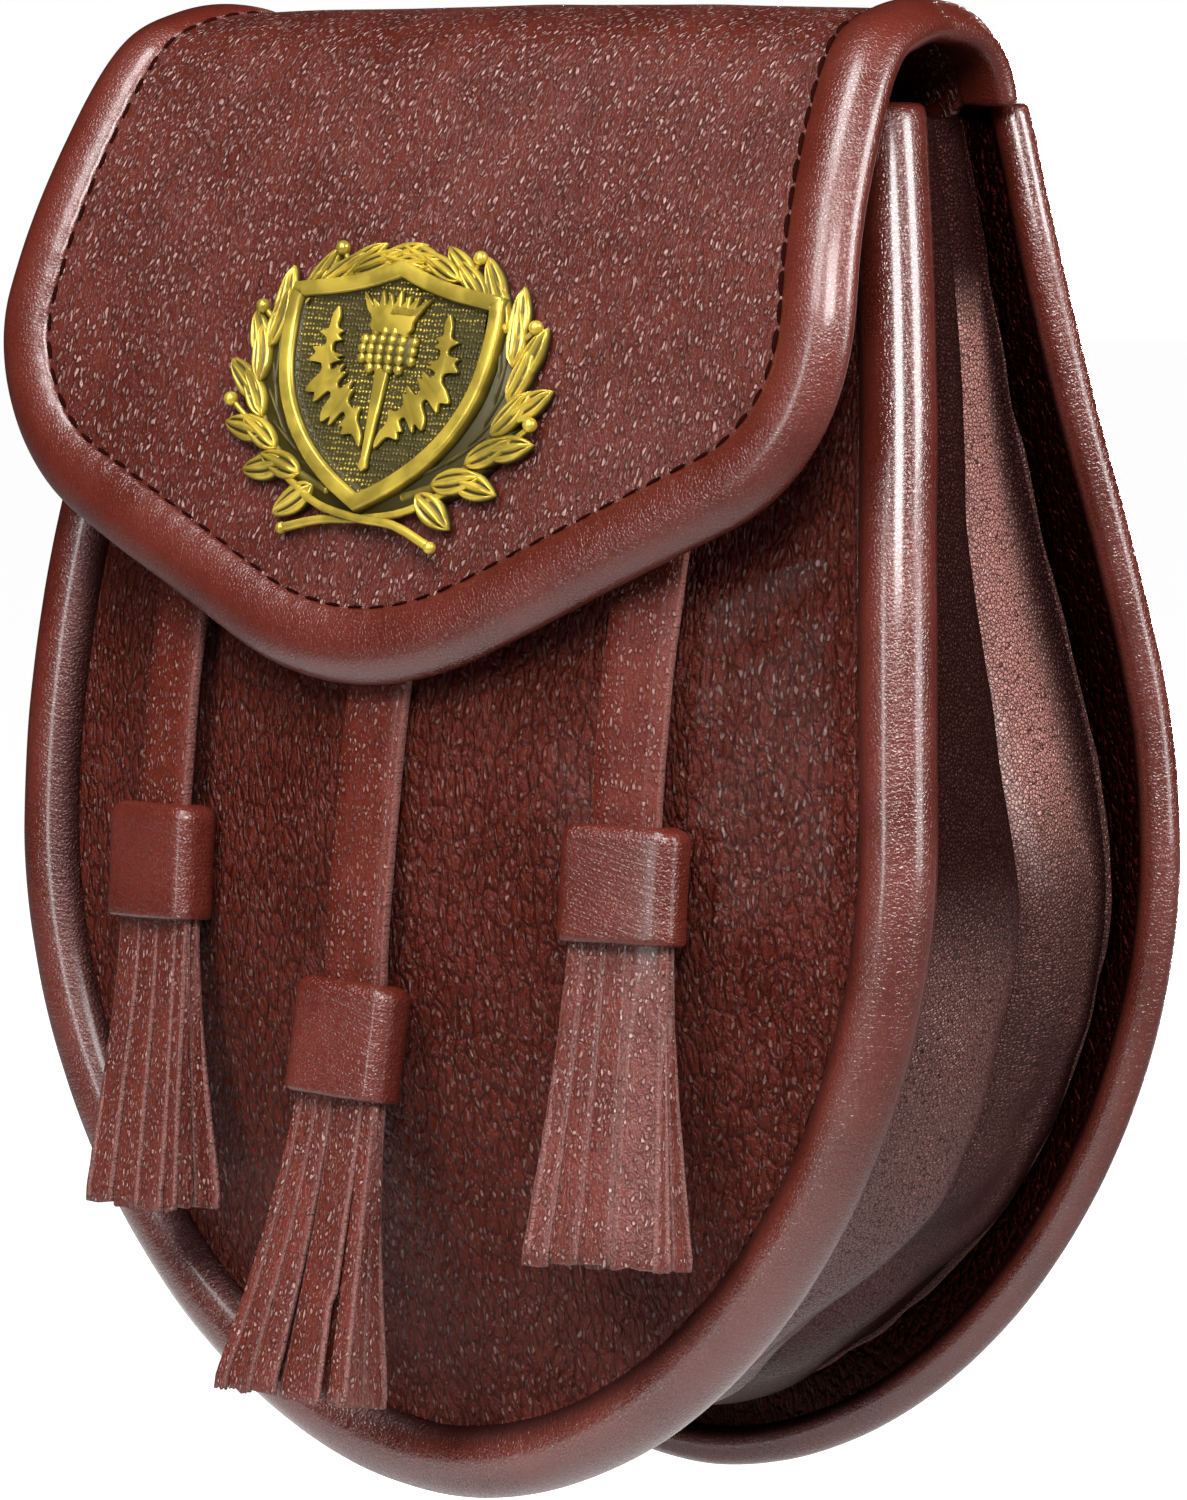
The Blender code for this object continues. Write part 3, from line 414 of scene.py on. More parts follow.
# ---- body lines ----
def body_outline():
    """Right half of the front roll's centre line, (x, z) from the top to the lowest point."""
    points = []
    for step in range(SIDE_STEPS):
        z = TOP_HEIGHT + (WIDEST_HEIGHT - TOP_HEIGHT) * step / SIDE_STEPS
        rise = (z - WIDEST_HEIGHT) / (TOP_HEIGHT - WIDEST_HEIGHT)
        points.append(Vector((WIDEST_HALF - (WIDEST_HALF - TOP_HALF) * rise**SIDE_POWER, z)))
    for step in range(BOTTOM_STEPS + 1):
        turn = math.radians(90.0) * step / BOTTOM_STEPS
        x = WIDEST_HALF * max(math.cos(turn), 0.0) ** (2 / BOTTOM_POWER)
        drop = math.sin(turn) ** (2 / BOTTOM_POWER)
        points.append(Vector((x, WIDEST_HEIGHT - (WIDEST_HEIGHT - LOWEST_HEIGHT) * drop)))
    points[-1].x = 0.0
    return points


OUTLINE = body_outline()


def outline_normals():
    """Unit normals of the outline, away from the pouch; the top one is level."""
    ahead = OUTLINE[1:] + [Vector((-OUTLINE[-2].x, OUTLINE[-2].y))]
    behind = [OUTLINE[0]] + OUTLINE[:-1]
    normals = []
    for a, b in zip(behind, ahead):
        along = (b - a).normalized()
        normals.append(Vector((-along.y, along.x)))
    for k in range(4):
        normals[k] = normals[k].lerp(Vector((1.0, 0.0)), 1.0 - k / 4).normalized()
    return normals


NORMALS = outline_normals()


def offset_outline(out):
    moved = [point + normal * out for point, normal in zip(OUTLINE, NORMALS)]
    moved[-1].x = 0.0
    return moved


def body_frames(depth, out=0.0):
    """Frames along the whole outline, from its right top round the bottom to its left top."""
    frames = [Frame(Vector((p.x, depth(p.y), p.y)), Vector((n.x, 0, n.y)), Vector((0, -1, 0)))
              for p, n in zip(offset_outline(out), NORMALS)]
    mirrored = [Frame(Vector((-f.point.x, f.point.y, f.point.z)), Vector((-f.out.x, 0, f.out.z)),
                      f.face) for f in frames[-2::-1]]
    return frames + mirrored


FRONT_STATIONS = [(p.x, p.y) for p in offset_outline(-FRONT_EDGE_INSET)]


def front_half(height):
    """Half width of the front panel at a height."""
    for (wide, high), (narrow, low) in zip(FRONT_STATIONS, FRONT_STATIONS[1:]):
        if low <= height <= high:
            return narrow + (wide - narrow) * (height - low) / (high - low)
    return FRONT_STATIONS[0][0] if height > FRONT_STATIONS[0][1] else 0.0


def front_surface(x, height, half=None):
    """Outer face of the domed front panel."""
    half = max(half or front_half(height), 0.001)
    reach = FRONT_STATIONS[0][1] - DOME_HEIGHT
    if height < DOME_HEIGHT:
        reach = DOME_HEIGHT - FRONT_STATIONS[-1][1]
    across = max(1.0 - (x / half) ** 2, 0.0) ** DOME_ACROSS_POWER
    upward = max(1.0 - ((height - DOME_HEIGHT) / reach) ** 2, 0.0) ** DOME_UP_POWER
    return Vector((x, front_y(height) - FRONT_EDGE_FORWARD - DOME * across * upward, height))


# ---- flap lines ----
FLAP_CURVE = through([Vector((point.y, point.z)) for point in FLAP_PROFILE], 16)
FLAP_LENGTHS = [0.0]
for before, after in zip(FLAP_CURVE, FLAP_CURVE[1:]):
    FLAP_LENGTHS.append(FLAP_LENGTHS[-1] + (after - before).length)


def flap_at(along):
    """Point and outward normal, both (y, z), at a length along the flap's middle."""
    along = min(max(along, 0.0), FLAP_LENGTHS[-1])
    low = max(k for k in range(len(FLAP_LENGTHS) - 1) if FLAP_LENGTHS[k] <= along)
    a, b = FLAP_CURVE[low], FLAP_CURVE[low + 1]
    share = (along - FLAP_LENGTHS[low]) / (FLAP_LENGTHS[low + 1] - FLAP_LENGTHS[low])
    direction = (b - a).normalized()
    if 0 < low < len(FLAP_CURVE) - 2:
        ahead = (FLAP_CURVE[low + 2] - b).normalized()
        behind = (a - FLAP_CURVE[low - 1]).normalized()
        direction = ((behind + direction) * (1 - share) + (direction + ahead) * share).normalized()
    return a.lerp(b, share), Vector((direction.y, -direction.x))


def flap_along(height, front=True):
    """Length along the flap's middle at which its front, or its tail, reaches a height."""
    stretch = range(len(FLAP_CURVE) - 1)
    for k in reversed(stretch) if front else stretch:
        low, high = sorted((FLAP_CURVE[k].y, FLAP_CURVE[k + 1].y))
        if low <= height <= high:
            share = (height - FLAP_CURVE[k].y) / (FLAP_CURVE[k + 1].y - FLAP_CURVE[k].y)
            return FLAP_LENGTHS[k] + (FLAP_LENGTHS[k + 1] - FLAP_LENGTHS[k]) * share
    raise ValueError("height is off the flap")


def flap_surface(x, along):
    """Outer face of the flap."""
    middle, normal = flap_at(along)
    bulge = CROWN_BULGE * max(1.0 - (x / FLAP_EDGE_HALF) ** 2, 0.0)
    bulge *= ease((middle.y - 165.0) / 20.0)
    back = FLAP_SETBACK * (x / FLAP_CORNER[0]) ** 2 * ease((152.0 - middle.y) / 24.0)
    if middle.x > 0.0:
        back = 0.0
    face = middle + normal * (bulge - back)
    return Vector((x, face.x, face.y))


def flap_stations():
    """Right edge of the flap sheet, (half width, along) from its tail to its tip."""
    crown = FLAP_LENGTHS[max(range(len(FLAP_CURVE)), key=lambda k: FLAP_CURVE[k].y)]
    start = flap_along(FLAP_BINDING_HEIGHT, front=False)
    side_top = Vector((FLAP_EDGE_HALF, crown))
    corner = Vector((FLAP_CORNER[0], flap_along(FLAP_CORNER[1])))
    tip = Vector((0.0, flap_along(FLAP_TIP_HEIGHT)))
    round_corner = fillet(side_top, corner, tip, FLAP_CORNER_RADIUS, 24)
    round_tip = fillet(corner, tip, Vector((-corner.x, corner.y)), FLAP_TIP_RADIUS, 32)[:17]
    stations = [(FLAP_TAIL_HALF, 0.0), (FLAP_TAIL_HALF, start - 1.5)]
    stations += [(FLAP_EDGE_HALF, start + (crown - start) * k / 20) for k in range(20)]
    stations += [tuple(side_top.lerp(round_corner[0], k / 50)) for k in range(50)]
    stations += [tuple(point) for point in round_corner]
    stations += [tuple(round_corner[-1].lerp(round_tip[0], k / 40)) for k in range(1, 40)]
    stations += [tuple(point) for point in round_tip]
    stations[-1] = (0.0, stations[-1][1])
    return stations


def flap_frames():
    """Frames along the flap's edge, from its right end behind, round the tip, to the left end."""
    right = flap_stations()[2:]
    edge = right + [(-x, along) for x, along in right[-2::-1]]
    places = [flap_surface(x, along) for x, along in edge]
    frames = []
    step = 0.5
    for index, (x, along) in enumerate(edge):
        normal = (flap_surface(x - step, along) - flap_surface(x + step, along)).cross(
            flap_surface(x, along - step) - flap_surface(x, along + step)).normalized()
        if normal.dot(Vector((0, *flap_at(along)[1]))) < 0:
            normal.negate()
        out = heading_at(places, index).cross(normal).normalized()
        if out.dot(places[index] - flap_surface(x * 0.8, along - 3.0)) < 0:
            out.negate()
        frames.append(Frame(places[index], out, normal))
    return frames


# ---- building ----
def new_mesh(*marks):
    """Empty mesh that carries the named point values."""
    bm = bmesh.new()
    for mark in marks:
        bm.verts.layers.float.new(mark)
    return bm


def mark(bm, vertices, values):
    """Write point values, one for all vertices or one for each."""
    for name, value in values.items():
        layer = bm.verts.layers.float[name]
        each = value if isinstance(value, (list, tuple)) else [value] * len(vertices)
        for vertex, item in zip(vertices, each):
            vertex[layer] = item


def skin(bm, rings, closed=False):
    """Skin through rings of equal length, extruded from the first, then capped or joined up."""
    first = [bm.verts.new(co) for co in rings[0].points]
    mark(bm, first, rings[0].marks)
    first_edges = [bm.edges.new((a, b)) for a, b in zip(first, first[1:] + first[:1])]
    ring, edges = first, first_edges
    for places, marks in rings[1:]:
        made = bmesh.ops.extrude_edge_only(bm, edges=edges)["geom"]
        new = {item for item in made if isinstance(item, bmesh.types.BMVert)}
        ring = [next(edge.other_vert(vertex) for edge in vertex.link_edges
                     if edge.other_vert(vertex) in new) for vertex in ring]
        for vertex, co in zip(ring, places):
            vertex.co = co
        mark(bm, ring, marks)
        edges = [bm.edges.get((a, b)) for a, b in zip(ring, ring[1:] + ring[:1])]
    if closed:
        bmesh.ops.bridge_loops(bm, edges=first_edges + edges)
    else:
        bm.faces.new(first)
        bm.faces.new(ring)


def add_object(name, data):
    thing = bpy.data.objects.new(name, data)
    bpy.context.scene.collection.objects.link(thing)
    return thing


def mesh_object(name, bm, finish):
    """Object of a mesh that is now done with, in its finish."""
    mesh = bpy.data.meshes.new(name)
    bm.to_mesh(mesh)
    bm.free()
    mesh.materials.append(finish_for(finish))
    return add_object(name, mesh)


def add_piece(name, bm, finish, slot, *nodes, wall=0.0, levels=0):
    """Finished piece from a mesh in the pouch's millimetres; a wall thickens an open sheet."""
    if not wall:
        bmesh.ops.recalc_face_normals(bm, faces=bm.faces)
    bm.transform(Matrix.Scale(MM, 4) @ Matrix.Translation(-HANG_POINT))
    piece = mesh_object(name, bm, finish)
    piece.data.shade_smooth()
    if wall:
        solidify = piece.modifiers.new("wall", "SOLIDIFY")
        solidify.thickness, solidify.offset = wall * MM, -1.0
    if levels:
        subdivide = piece.modifiers.new("smooth", "SUBSURF")
        subdivide.levels = subdivide.render_levels = levels
    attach(piece, "root")
    if nodes:
        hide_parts(*nodes)


def sheet(stations, columns, surface):
    """Curved grid: surface(across, *station) gives a point and its place on the skin."""
    bm = new_mesh("across", "along")
    layer = bm.verts.layers.float
    rows = len(stations) - 1
    bmesh.ops.create_grid(bm, x_segments=columns, y_segments=rows, size=1.0)
    for vertex in bm.verts:
        station = stations[round((1.0 - vertex.co.y) / 2.0 * rows)]
        vertex.co, across, along = surface(vertex.co.x, *station)
        vertex[layer["across"]], vertex[layer["along"]] = across, along
    bmesh.ops.remove_doubles(bm, verts=bm.verts, dist=0.01)
    return bm


def lengths_of(frames):
    lengths = [0.0]
    for a, b in zip(frames, frames[1:]):
        lengths.append(lengths[-1] + (b.point - a.point).length)
    return lengths


def frame_at(frames, lengths, along):
    """Frame at a length along a row of frames."""
    low = max(k for k in range(len(lengths) - 1) if lengths[k] <= along)
    t = (along - lengths[low]) / max(lengths[low + 1] - lengths[low], 1e-6)
    a, b = frames[low], frames[low + 1]
    return Frame(a.point.lerp(b.point, t), a.out.lerp(b.out, t).normalized(),
                 a.face.lerp(b.face, t).normalized())


def roll_rings(frames, section, round_end, shade_reach=0.0):
    """Rings that carry a section of (out, up) offsets along frames, with rounded ends."""
    rings = []
    for place, along in zip(frames, lengths_of(frames)):
        offsets = section(along, place.point)
        points = [place.point + place.out * out + place.face * up for out, up in offsets]
        # Painted shade: the fold value darkens the side of the section that turns in towards the
        # pouch.
        folds = [ease((-out / shade_reach - 0.1) / 0.9) if shade_reach else 0.0
                 for out, up in offsets]
        rings.append(Ring(points, {"along": along, "fold": folds}))
    for index, inner, side in ((0, 1, 0), (-1, -2, len(rings) + 1)):
        points = rings[index].points
        middle = sum(points, Vector()) / len(points)
        out = (frames[index].point - frames[inner].point).normalized() * round_end
        cap = [middle.lerp(point, 0.80) + out for point in points]
        rings.insert(side, Ring(cap, dict(rings[index].marks)))
    return rings


def add_ball(bm, segments, rings, radius, place, shape=Matrix()):
    return bmesh.ops.create_uvsphere(bm, u_segments=segments, v_segments=rings, radius=radius,
                                     matrix=Matrix.Translation(place) @ shape)["verts"]


def stitch_row(bm, frames, start, out=0.0, up=0.0, tilt=0.05, heavy=False):
    """Thread lengths along frames, sunk by half; heavy ones thicken towards the upper right."""
    thread = settings("stitch")
    lengths = lengths_of(frames)
    for index in range(int((lengths[-1] - start) / thread.pitch)):
        along = start + (index + 0.5) * thread.pitch
        place = frame_at(frames, lengths, along)
        ahead = frame_at(frames, lengths, min(along + 0.5, lengths[-1])).point
        travel = (ahead - place.point).normalized()
        travel = (travel + place.out * tilt).normalized()
        side = place.face.cross(travel).normalized()
        centre = place.point + place.out * out + place.face * up
        thick = thread.thread / 2 * (1.0 + 0.18 * noise.noise(centre * 1.7))
        reach = thread.length / 2
        if heavy:
            right = ease((place.point.z - 140.0) / 10.0) * (place.point.x > 0.0)
            thick *= 0.85 + 0.35 * right - 0.25 * ease((134.0 - place.point.z) / 10.0)
            reach *= 1.0 + 0.34 * right
            centre += side * 0.16 * noise.noise(centre * 2.9)
        basis = Matrix((travel, side, place.face)).transposed().to_4x4()
        add_ball(bm, 8, 6, 1.0, centre, basis @ Matrix.Diagonal((reach, thick, thick, 1.0))
                 @ Matrix.Rotation(math.radians(90.0), 4, "Y"))


# ---- node wiring ----
class Value:
    """Output of a shader node, its first unless an index names another; arithmetic adds nodes."""

    def __init__(self, wires, node, output=0):
        self.wires, self.node, self.output = wires, node, output

    def __getitem__(self, output):
        return Value(self.wires, self.node, output)

    def __add__(self, other):
        return self.wires.math("ADD", self, other)

    def __sub__(self, other):
        return self.wires.math("SUBTRACT", self, other)

    def __mul__(self, other):
        return self.wires.math("MULTIPLY", self, other)

    def __or__(self, other):
        """The greater of two."""
        return self.wires.math("MAXIMUM", self, other)

    def __invert__(self):
        """One less the value, never below zero."""
        return self.wires.math("SUBTRACT", 1.0, self, clamp=True)

    def span(self, low, high, to_low=0.0, to_high=1.0):
        """Smoothly maps the value from one range to another."""
        return self.wires.add("MapRange", {"interpolation_type": "SMOOTHSTEP"}, Value=self,
                              From_Min=low, From_Max=high, To_Min=to_low, To_Max=to_high)


class Wires:
    """Short form for adding and joining shader nodes."""

    def __init__(self, tree):
        self.tree = tree

    def join(self, value, socket):
        if isinstance(value, Value):
            self.tree.links.new(value.node.outputs[value.output], socket)
        elif hasattr(socket.default_value, "__len__"):
            size = len(socket.default_value)
            each = tuple(value) if hasattr(value, "__len__") else (value,) * size
            socket.default_value = (*each, 1.0)[:size]
        else:
            socket.default_value = value

    def fill(self, node, **inputs):
        """Give a node its inputs, each by name, with _ for a blank, or by number as i0, i1."""
        for name, value in inputs.items():
            numbered = name[0] == "i" and name[1:].isdigit()
            self.join(value, node.inputs[int(name[1:]) if numbered else name.replace("_", " ")])

    def add(self, kind, values=None, **inputs):
        node = self.tree.nodes.new("ShaderNode" + kind)
        for name, value in (values or {}).items():
            setattr(node, name, value)
        self.fill(node, **inputs)
        return Value(self, node)

    def math(self, operation, a, b, clamp=False):
        return self.add("Math", {"operation": operation, "use_clamp": clamp}, i0=a, i1=b)

    def vector(self, operation, a, b=(0.0, 0.0, 0.0), **inputs):
        return self.add("VectorMath", {"operation": operation}, i0=a, i1=b, **inputs)

    def noise(self, place, scale, detail, flat=False, **inputs):
        return self.add("TexNoise", {"noise_dimensions": "2D" if flat else "3D"}, Vector=place,
                        Scale=scale, Detail=detail, **inputs)

    def cells(self, feature, place, scale, flat=False, **inputs):
        kind = {"feature": feature, "voronoi_dimensions": "2D" if flat else "3D"}
        return self.add("TexVoronoi", kind, Vector=place, Scale=scale, **inputs)

    def mark(self, name):
        """Point value of the mesh."""
        return self.add("Attribute", {"attribute_name": name})["Fac"]

    def mix(self, factor, a, b):
        return self.add("Mix", {"data_type": "RGBA"}, i0=factor, i6=a, i7=b)[2]


def make_group(name, inputs, wire):
    """Node group built once and found by its name later; wire gives its outputs by name."""
    found = bpy.data.node_groups.get(name)
    if found:
        return found
    group = bpy.data.node_groups.new(name, "ShaderNodeTree")
    for label, default in inputs.items():
        kind = "NodeSocketVector" if default is None else "NodeSocketFloat"
        socket = group.interface.new_socket(label, in_out="INPUT", socket_type=kind)
        if default is not None:
            socket.default_value = default
    w = Wires(group)
    outputs = wire(w, Value(w, group.nodes.new("NodeGroupInput")))
    for label in outputs:
        group.interface.new_socket(label, in_out="OUTPUT", socket_type="NodeSocketFloat")
    leave = group.nodes.new("NodeGroupOutput")
    for label, value in outputs.items():
        w.join(value, leave.inputs[label])
    return group


def pebble_group():
    """Hide grain laid out flat: a net of pebbles and short raised tips that run down the hide."""
    def wire(w, given):
        across, along = given["Across"], given["Along"]
        place = w.add("CombineXYZ", X=across + along * given["Lean"], Y=along * given["Tallness"])
        even = w.add("CombineXYZ", X=across, Y=along)
        warp = w.noise(place, 0.45, 2.0, flat=True)["Color"]
        shift = w.vector("SCALE", w.vector("SUBTRACT", warp, (0.5, 0.5, 0.5)), Scale=1.3)
        moved = w.vector("ADD", place, shift)

        def net(times):
            scale = w.math("DIVIDE", times, given["Net Size"])
            return w.cells("DISTANCE_TO_EDGE", moved, scale, flat=True)

        large, small = net(1.0), net(1.9)
        pebbles = large.span(0.0, 0.26) * 0.62 + small.span(0.0, 0.30) * 0.38
        tips = rims = None
        for size, share in ((1.0, 1.0), (0.52, 0.55)):
            scale = w.math("DIVIDE", 1.0 / size, given["Tip Size"])
            dots = w.cells("F1", moved, scale, flat=True, Randomness=0.85)
            tall = w.add("SeparateColor", Color=dots["Color"]).span(0.0, 0.70, 0.0, share)
            tip = dots.span(0.13, 0.25, 1.0, 0.0) * tall
            rim = dots.span(0.30, 0.50, 1.0, 0.0) * tall
            tips = tips | tip if tips else tip
            rims = rims | rim if rims else rim
        raised = tips * given["Tips"]
        # Painted shade: the net's creases, and a ring round each raised tip that stands in for its
        # shadow, go into Crease. Tip marks where painted highlights go.
        crease = large.span(0.0, 0.13, 1.0, 0.0) * given["Net"]
        hollow = w.math("SUBTRACT", rims, tips, clamp=True) * given["Tips"]
        speckle = w.noise(even, 0.30, 2.0, flat=True)
        fine = w.noise(even, 3.2, 3.0, flat=True)
        return {"Height": pebbles * given["Net"] + raised + fine * 0.40,
                "Crease": crease | hollow * 0.85,
                "Patch": w.noise(even, 0.08, 3.0, flat=True),
                "Tip": raised * speckle.span(0.35, 0.60, 0.35, 1.0)}

    inputs = {"Across": 0.0, "Along": 0.0, "Lean": 0.0, "Tallness": 0.6, "Net Size": 2.0,
              "Tip Size": 1.1, "Net": 1.0, "Tips": 1.0}
    return make_group("Pebble Grain", inputs, wire)


def fine_group():
    """Fine skin grain with short wrinkles that run across a rolled edge."""
    def wire(w, given):
        place = w.vector("SCALE", given["Vector"], Scale=1.0 / MM)
        grain = w.cells("DISTANCE_TO_EDGE", place, 1.9)
        stretched = w.vector("MULTIPLY", place, (0.45, 0.45, 0.45))
        drawn = w.vector("ADD", stretched, w.add("CombineXYZ", X=given["Along"] * 1.6))
        wrinkles = w.noise(drawn, 1.0, 2.0, Distortion=0.6).span(0.40, 0.62)
        height = grain.span(0.0, 0.32) * 0.75 + w.noise(place, 2.6, 2.0) * 0.35
        return {"Height": height + wrinkles * given["Wrinkles"],
                "Patch": w.noise(place, 0.07, 3.0),
                # Line marks the cracks between skin cells, where painted shade goes.
                "Line": grain.span(0.02, 0.13, 1.0, 0.0)}
    return make_group("Skin Grain", {"Vector": None, "Along": 0.0, "Wrinkles": 0.6}, wire)


def start_material(name, colour, roughness):
    """Material, its wires, its Principled shader and the piece's own coordinates."""
    material = bpy.data.materials.new(name)
    material.use_nodes = True
    material.diffuse_color = (*colour, 1.0)
    shader = material.node_tree.nodes["Principled BSDF"]
    shader.inputs["Roughness"].default_value = roughness
    w = Wires(material.node_tree)
    return material, w, shader, w.add("TexCoord")["Object"]


def tinted(colour, *shares):
    """Colour with its channels changed, by one share or by three."""
    return tuple(c * k for c, k in zip(colour, shares * 3 if len(shares) == 1 else shares))


# The column after gloss scales each piece's base colour to how brightly it is lit: painted light
# and shade on copies of one leather. Glint is the share of painted highlight on the raised tips.
Grain = namedtuple("Grain", "net_size tip_size tallness net tips lean depth gloss darker shine "
                            "glint coat")
PEBBLE_FINISHES = {             # a size given in words is the setting of that name
    "flap_leather": Grain(1.9, "flap_grain", 0.46, 0.18, 0.95, 0.14, 0.26, 0.35, 0.84, 0.45, 0.62,
                          0.5),
    "front_leather": Grain("front_grain", 1.05, 0.48, 1.0, 0.7, 0.05, 0.42, 0.34, 0.72, 0.10, 0.26,
                           0.3),
    "back_leather": Grain("front_grain", 1.05, 0.60, 0.9, 0.5, 0.0, 0.28, 0.36, 0.85, 0.25, 0.1,
                          0.4),
    "strap_leather": Grain(1.8, 0.85, 0.55, 0.2, 0.8, 0.1, 0.22, 0.42, 0.94, 0.20, 0.50, 0.3),
    "fringe_leather": Grain(1.5, 0.85, 0.55, 0.3, 0.9, 0.0, 0.28, 0.40, 1.12, 0.50, 0.72, 0.6),
}

# The column after depth scales each piece's base colour to how brightly it is lit: painted light
# and shade. Crack is how much painted shade goes into the cracks between skin cells.
Polish = namedtuple("Polish", "wrinkles gloss depth darker shine coat crack")
SMOOTH_FINISHES = {
    "roll_leather": Polish(0.55, 0.27, 0.06, 1.12, 0.75, 0.85, 0.25),
    "binding_leather": Polish(0.35, 0.30, 0.05, 1.12, 0.65, 0.55, 0.25),
    "gusset_leather": Polish(0.35, 0.28, 0.14, 1.0, 0.65, 0.45, 1.0),
    "cap_leather": Polish(0.8, 0.28, 0.07, 1.12, 0.5, 0.35, 0.25),
}

GUSSET_LIT_SIDE = (0.98, -0.17, 0.0)        # the side that gets a painted highlight
# The painted highlight is weaker below the first height and full above the second, in metres.
GUSSET_LIT_HEIGHTS = (-0.075, -0.035)


def pebble_leather(name):
    """Grained leather with painted highlights on its raised tips and painted shade in its creases;
    the point values cut and fold make it a raw edge or paint shade on it.
    """
    look, grain = settings("leather"), PEBBLE_FINISHES[name]
    net_size, tip_size = (getattr(look, size) if isinstance(size, str) else size
                          for size in (grain.net_size, grain.tip_size))
    material, w, shader, place = start_material(name, look.pebble_colour, grain.gloss)
    cut, fold = w.mark("cut"), w.mark("fold")
    pebbles = w.add("Group", {"node_tree": pebble_group()}, Across=w.mark("across"),
                    Along=w.mark("along"), Lean=grain.lean, Tallness=grain.tallness,
                    Net_Size=net_size, Tip_Size=tip_size, Net=grain.net, Tips=grain.tips)
    crease, tip = pebbles["Crease"], pebbles["Tip"]
    base = tinted(look.pebble_colour, grain.darker)
    worn = tuple(min(c * 1.25 + 0.003, 1.0) for c in base)
    tone = w.mix(pebbles["Patch"].span(0.35, 0.65), base, worn)
    # Painted shade goes into the creases and painted highlights onto the raised tips.
    tone = w.mix(crease * 0.55, tone, look.painted_shade_colour)
    tone = w.mix(tip * grain.glint, tone, look.painted_highlight_colour)
    # Painted shade on the back panel's faces that turn towards the front, into the pouch's shadow.
    if name == "back_leather":
        facing = w.add("SeparateXYZ", Vector=w.add("TexCoord")["Normal"])["Y"]
        fold = fold | facing.span(-0.4, 0.1, 1.0, 0.0)
    # The fold value paints shade: the colour goes near black there.
    tone = w.mix(fold * 0.93, tone, look.painted_shade_colour)
    fuzz = w.noise(place, 3200.0, 2.0)
    raw = w.mix(fuzz.span(0.35, 0.65), tinted(look.cut_colour, 0.45), look.cut_colour)
    rough = crease.span(0.0, 1.0, grain.gloss, grain.gloss + 0.08) - tip * 0.16
    bump = w.add("Bump", Strength=1.0, Distance=grain.depth * MM,
                 Height=pebbles["Height"] + fuzz * cut)
    # Metallic rises in creases and folds so that they reflect next to nothing: painted shade.
    w.fill(shader, Base_Color=w.mix(cut, tone, raw), Roughness=rough + cut * 0.35,
           Specular_IOR_Level=grain.shine, Coat_Roughness=0.16,
           Coat_Weight=(tip * grain.coat + grain.shine * 0.35) * (~cut * ~fold),
           Metallic=(crease * 0.40 | fold) * 0.95 * ~cut, Normal=bump)
    return material


def smooth_leather(name):
    """Polished smooth leather of the rolled edges, the caps and the gusset, with painted shade in
    its cracks and folds and a painted highlight on the gusset.
    """
    look, polish = settings("leather"), SMOOTH_FINISHES[name]
    gloss = polish.gloss
    material, w, shader, place = start_material(name, look.smooth_colour, gloss)
    grain = w.add("Group", {"node_tree": fine_group()}, Vector=place, Along=w.mark("along"),
                  Wrinkles=polish.wrinkles)
    base = tinted(look.smooth_colour, polish.darker)
    tone = w.mix(grain["Patch"].span(0.30, 0.70), tinted(base, 0.86),
                 tuple(c * 1.18 + 0.002 for c in base))
    line, fold = grain["Line"] * polish.crack, w.mark("fold")
    # Painted highlight: the gusset goes paler on its side that faces the light, more so higher up.
    if name == "gusset_leather":
        facing = w.vector("DOT_PRODUCT", w.add("TexCoord")["Normal"], GUSSET_LIT_SIDE)["Value"]
        height = w.add("SeparateXYZ", Vector=place)["Z"]
        painted_highlight_mask = ~grain["Line"] * height.span(*GUSSET_LIT_HEIGHTS, 0.45, 1.0)
        tone = w.mix(facing.span(0.55, 0.95) * painted_highlight_mask * 0.50, tone,
                     tinted(look.painted_highlight_colour, 1.0, 0.78, 0.74))
    # Painted shade in the cracks between skin cells and in the folds.
    tone = w.mix(line * 0.70, tone, look.painted_shade_colour)
    tone = w.mix(fold * 0.93, tone, look.painted_shade_colour)
    rough = grain["Patch"].span(0.25, 0.75, gloss - 0.04, gloss + 0.06) + line * 0.22
    bump = w.add("Bump", Strength=1.0, Distance=polish.depth * MM, Height=grain["Height"])
    # Metallic rises in cracks and folds so that they reflect next to nothing: painted shade.
    w.fill(shader, Base_Color=w.mix(w.mark("cut"), tone, look.cut_colour),
           Roughness=rough + fold * 0.25, Specular_IOR_Level=polish.shine, Coat_Roughness=0.17,
           Coat_Weight=~fold * ~(line * 0.9) * polish.coat,
           Metallic=(line * 0.65 | fold) * 0.95, Normal=bump)
    return material


def thread_material():
    """Waxed dark thread."""
    look = settings("stitch")
    material, w, shader, place = start_material("dark_thread", look.colour, 0.8)
    strands = w.noise(place, 4200.0, 1.0)
    w.fill(shader, Base_Color=w.mix(strands, tinted(look.colour, 0.4), tinted(look.colour, 2.4)),
           Specular_IOR_Level=0.0,
           Normal=w.add("Bump", Strength=0.8, Distance=0.08 * MM, Height=strands))
    return material


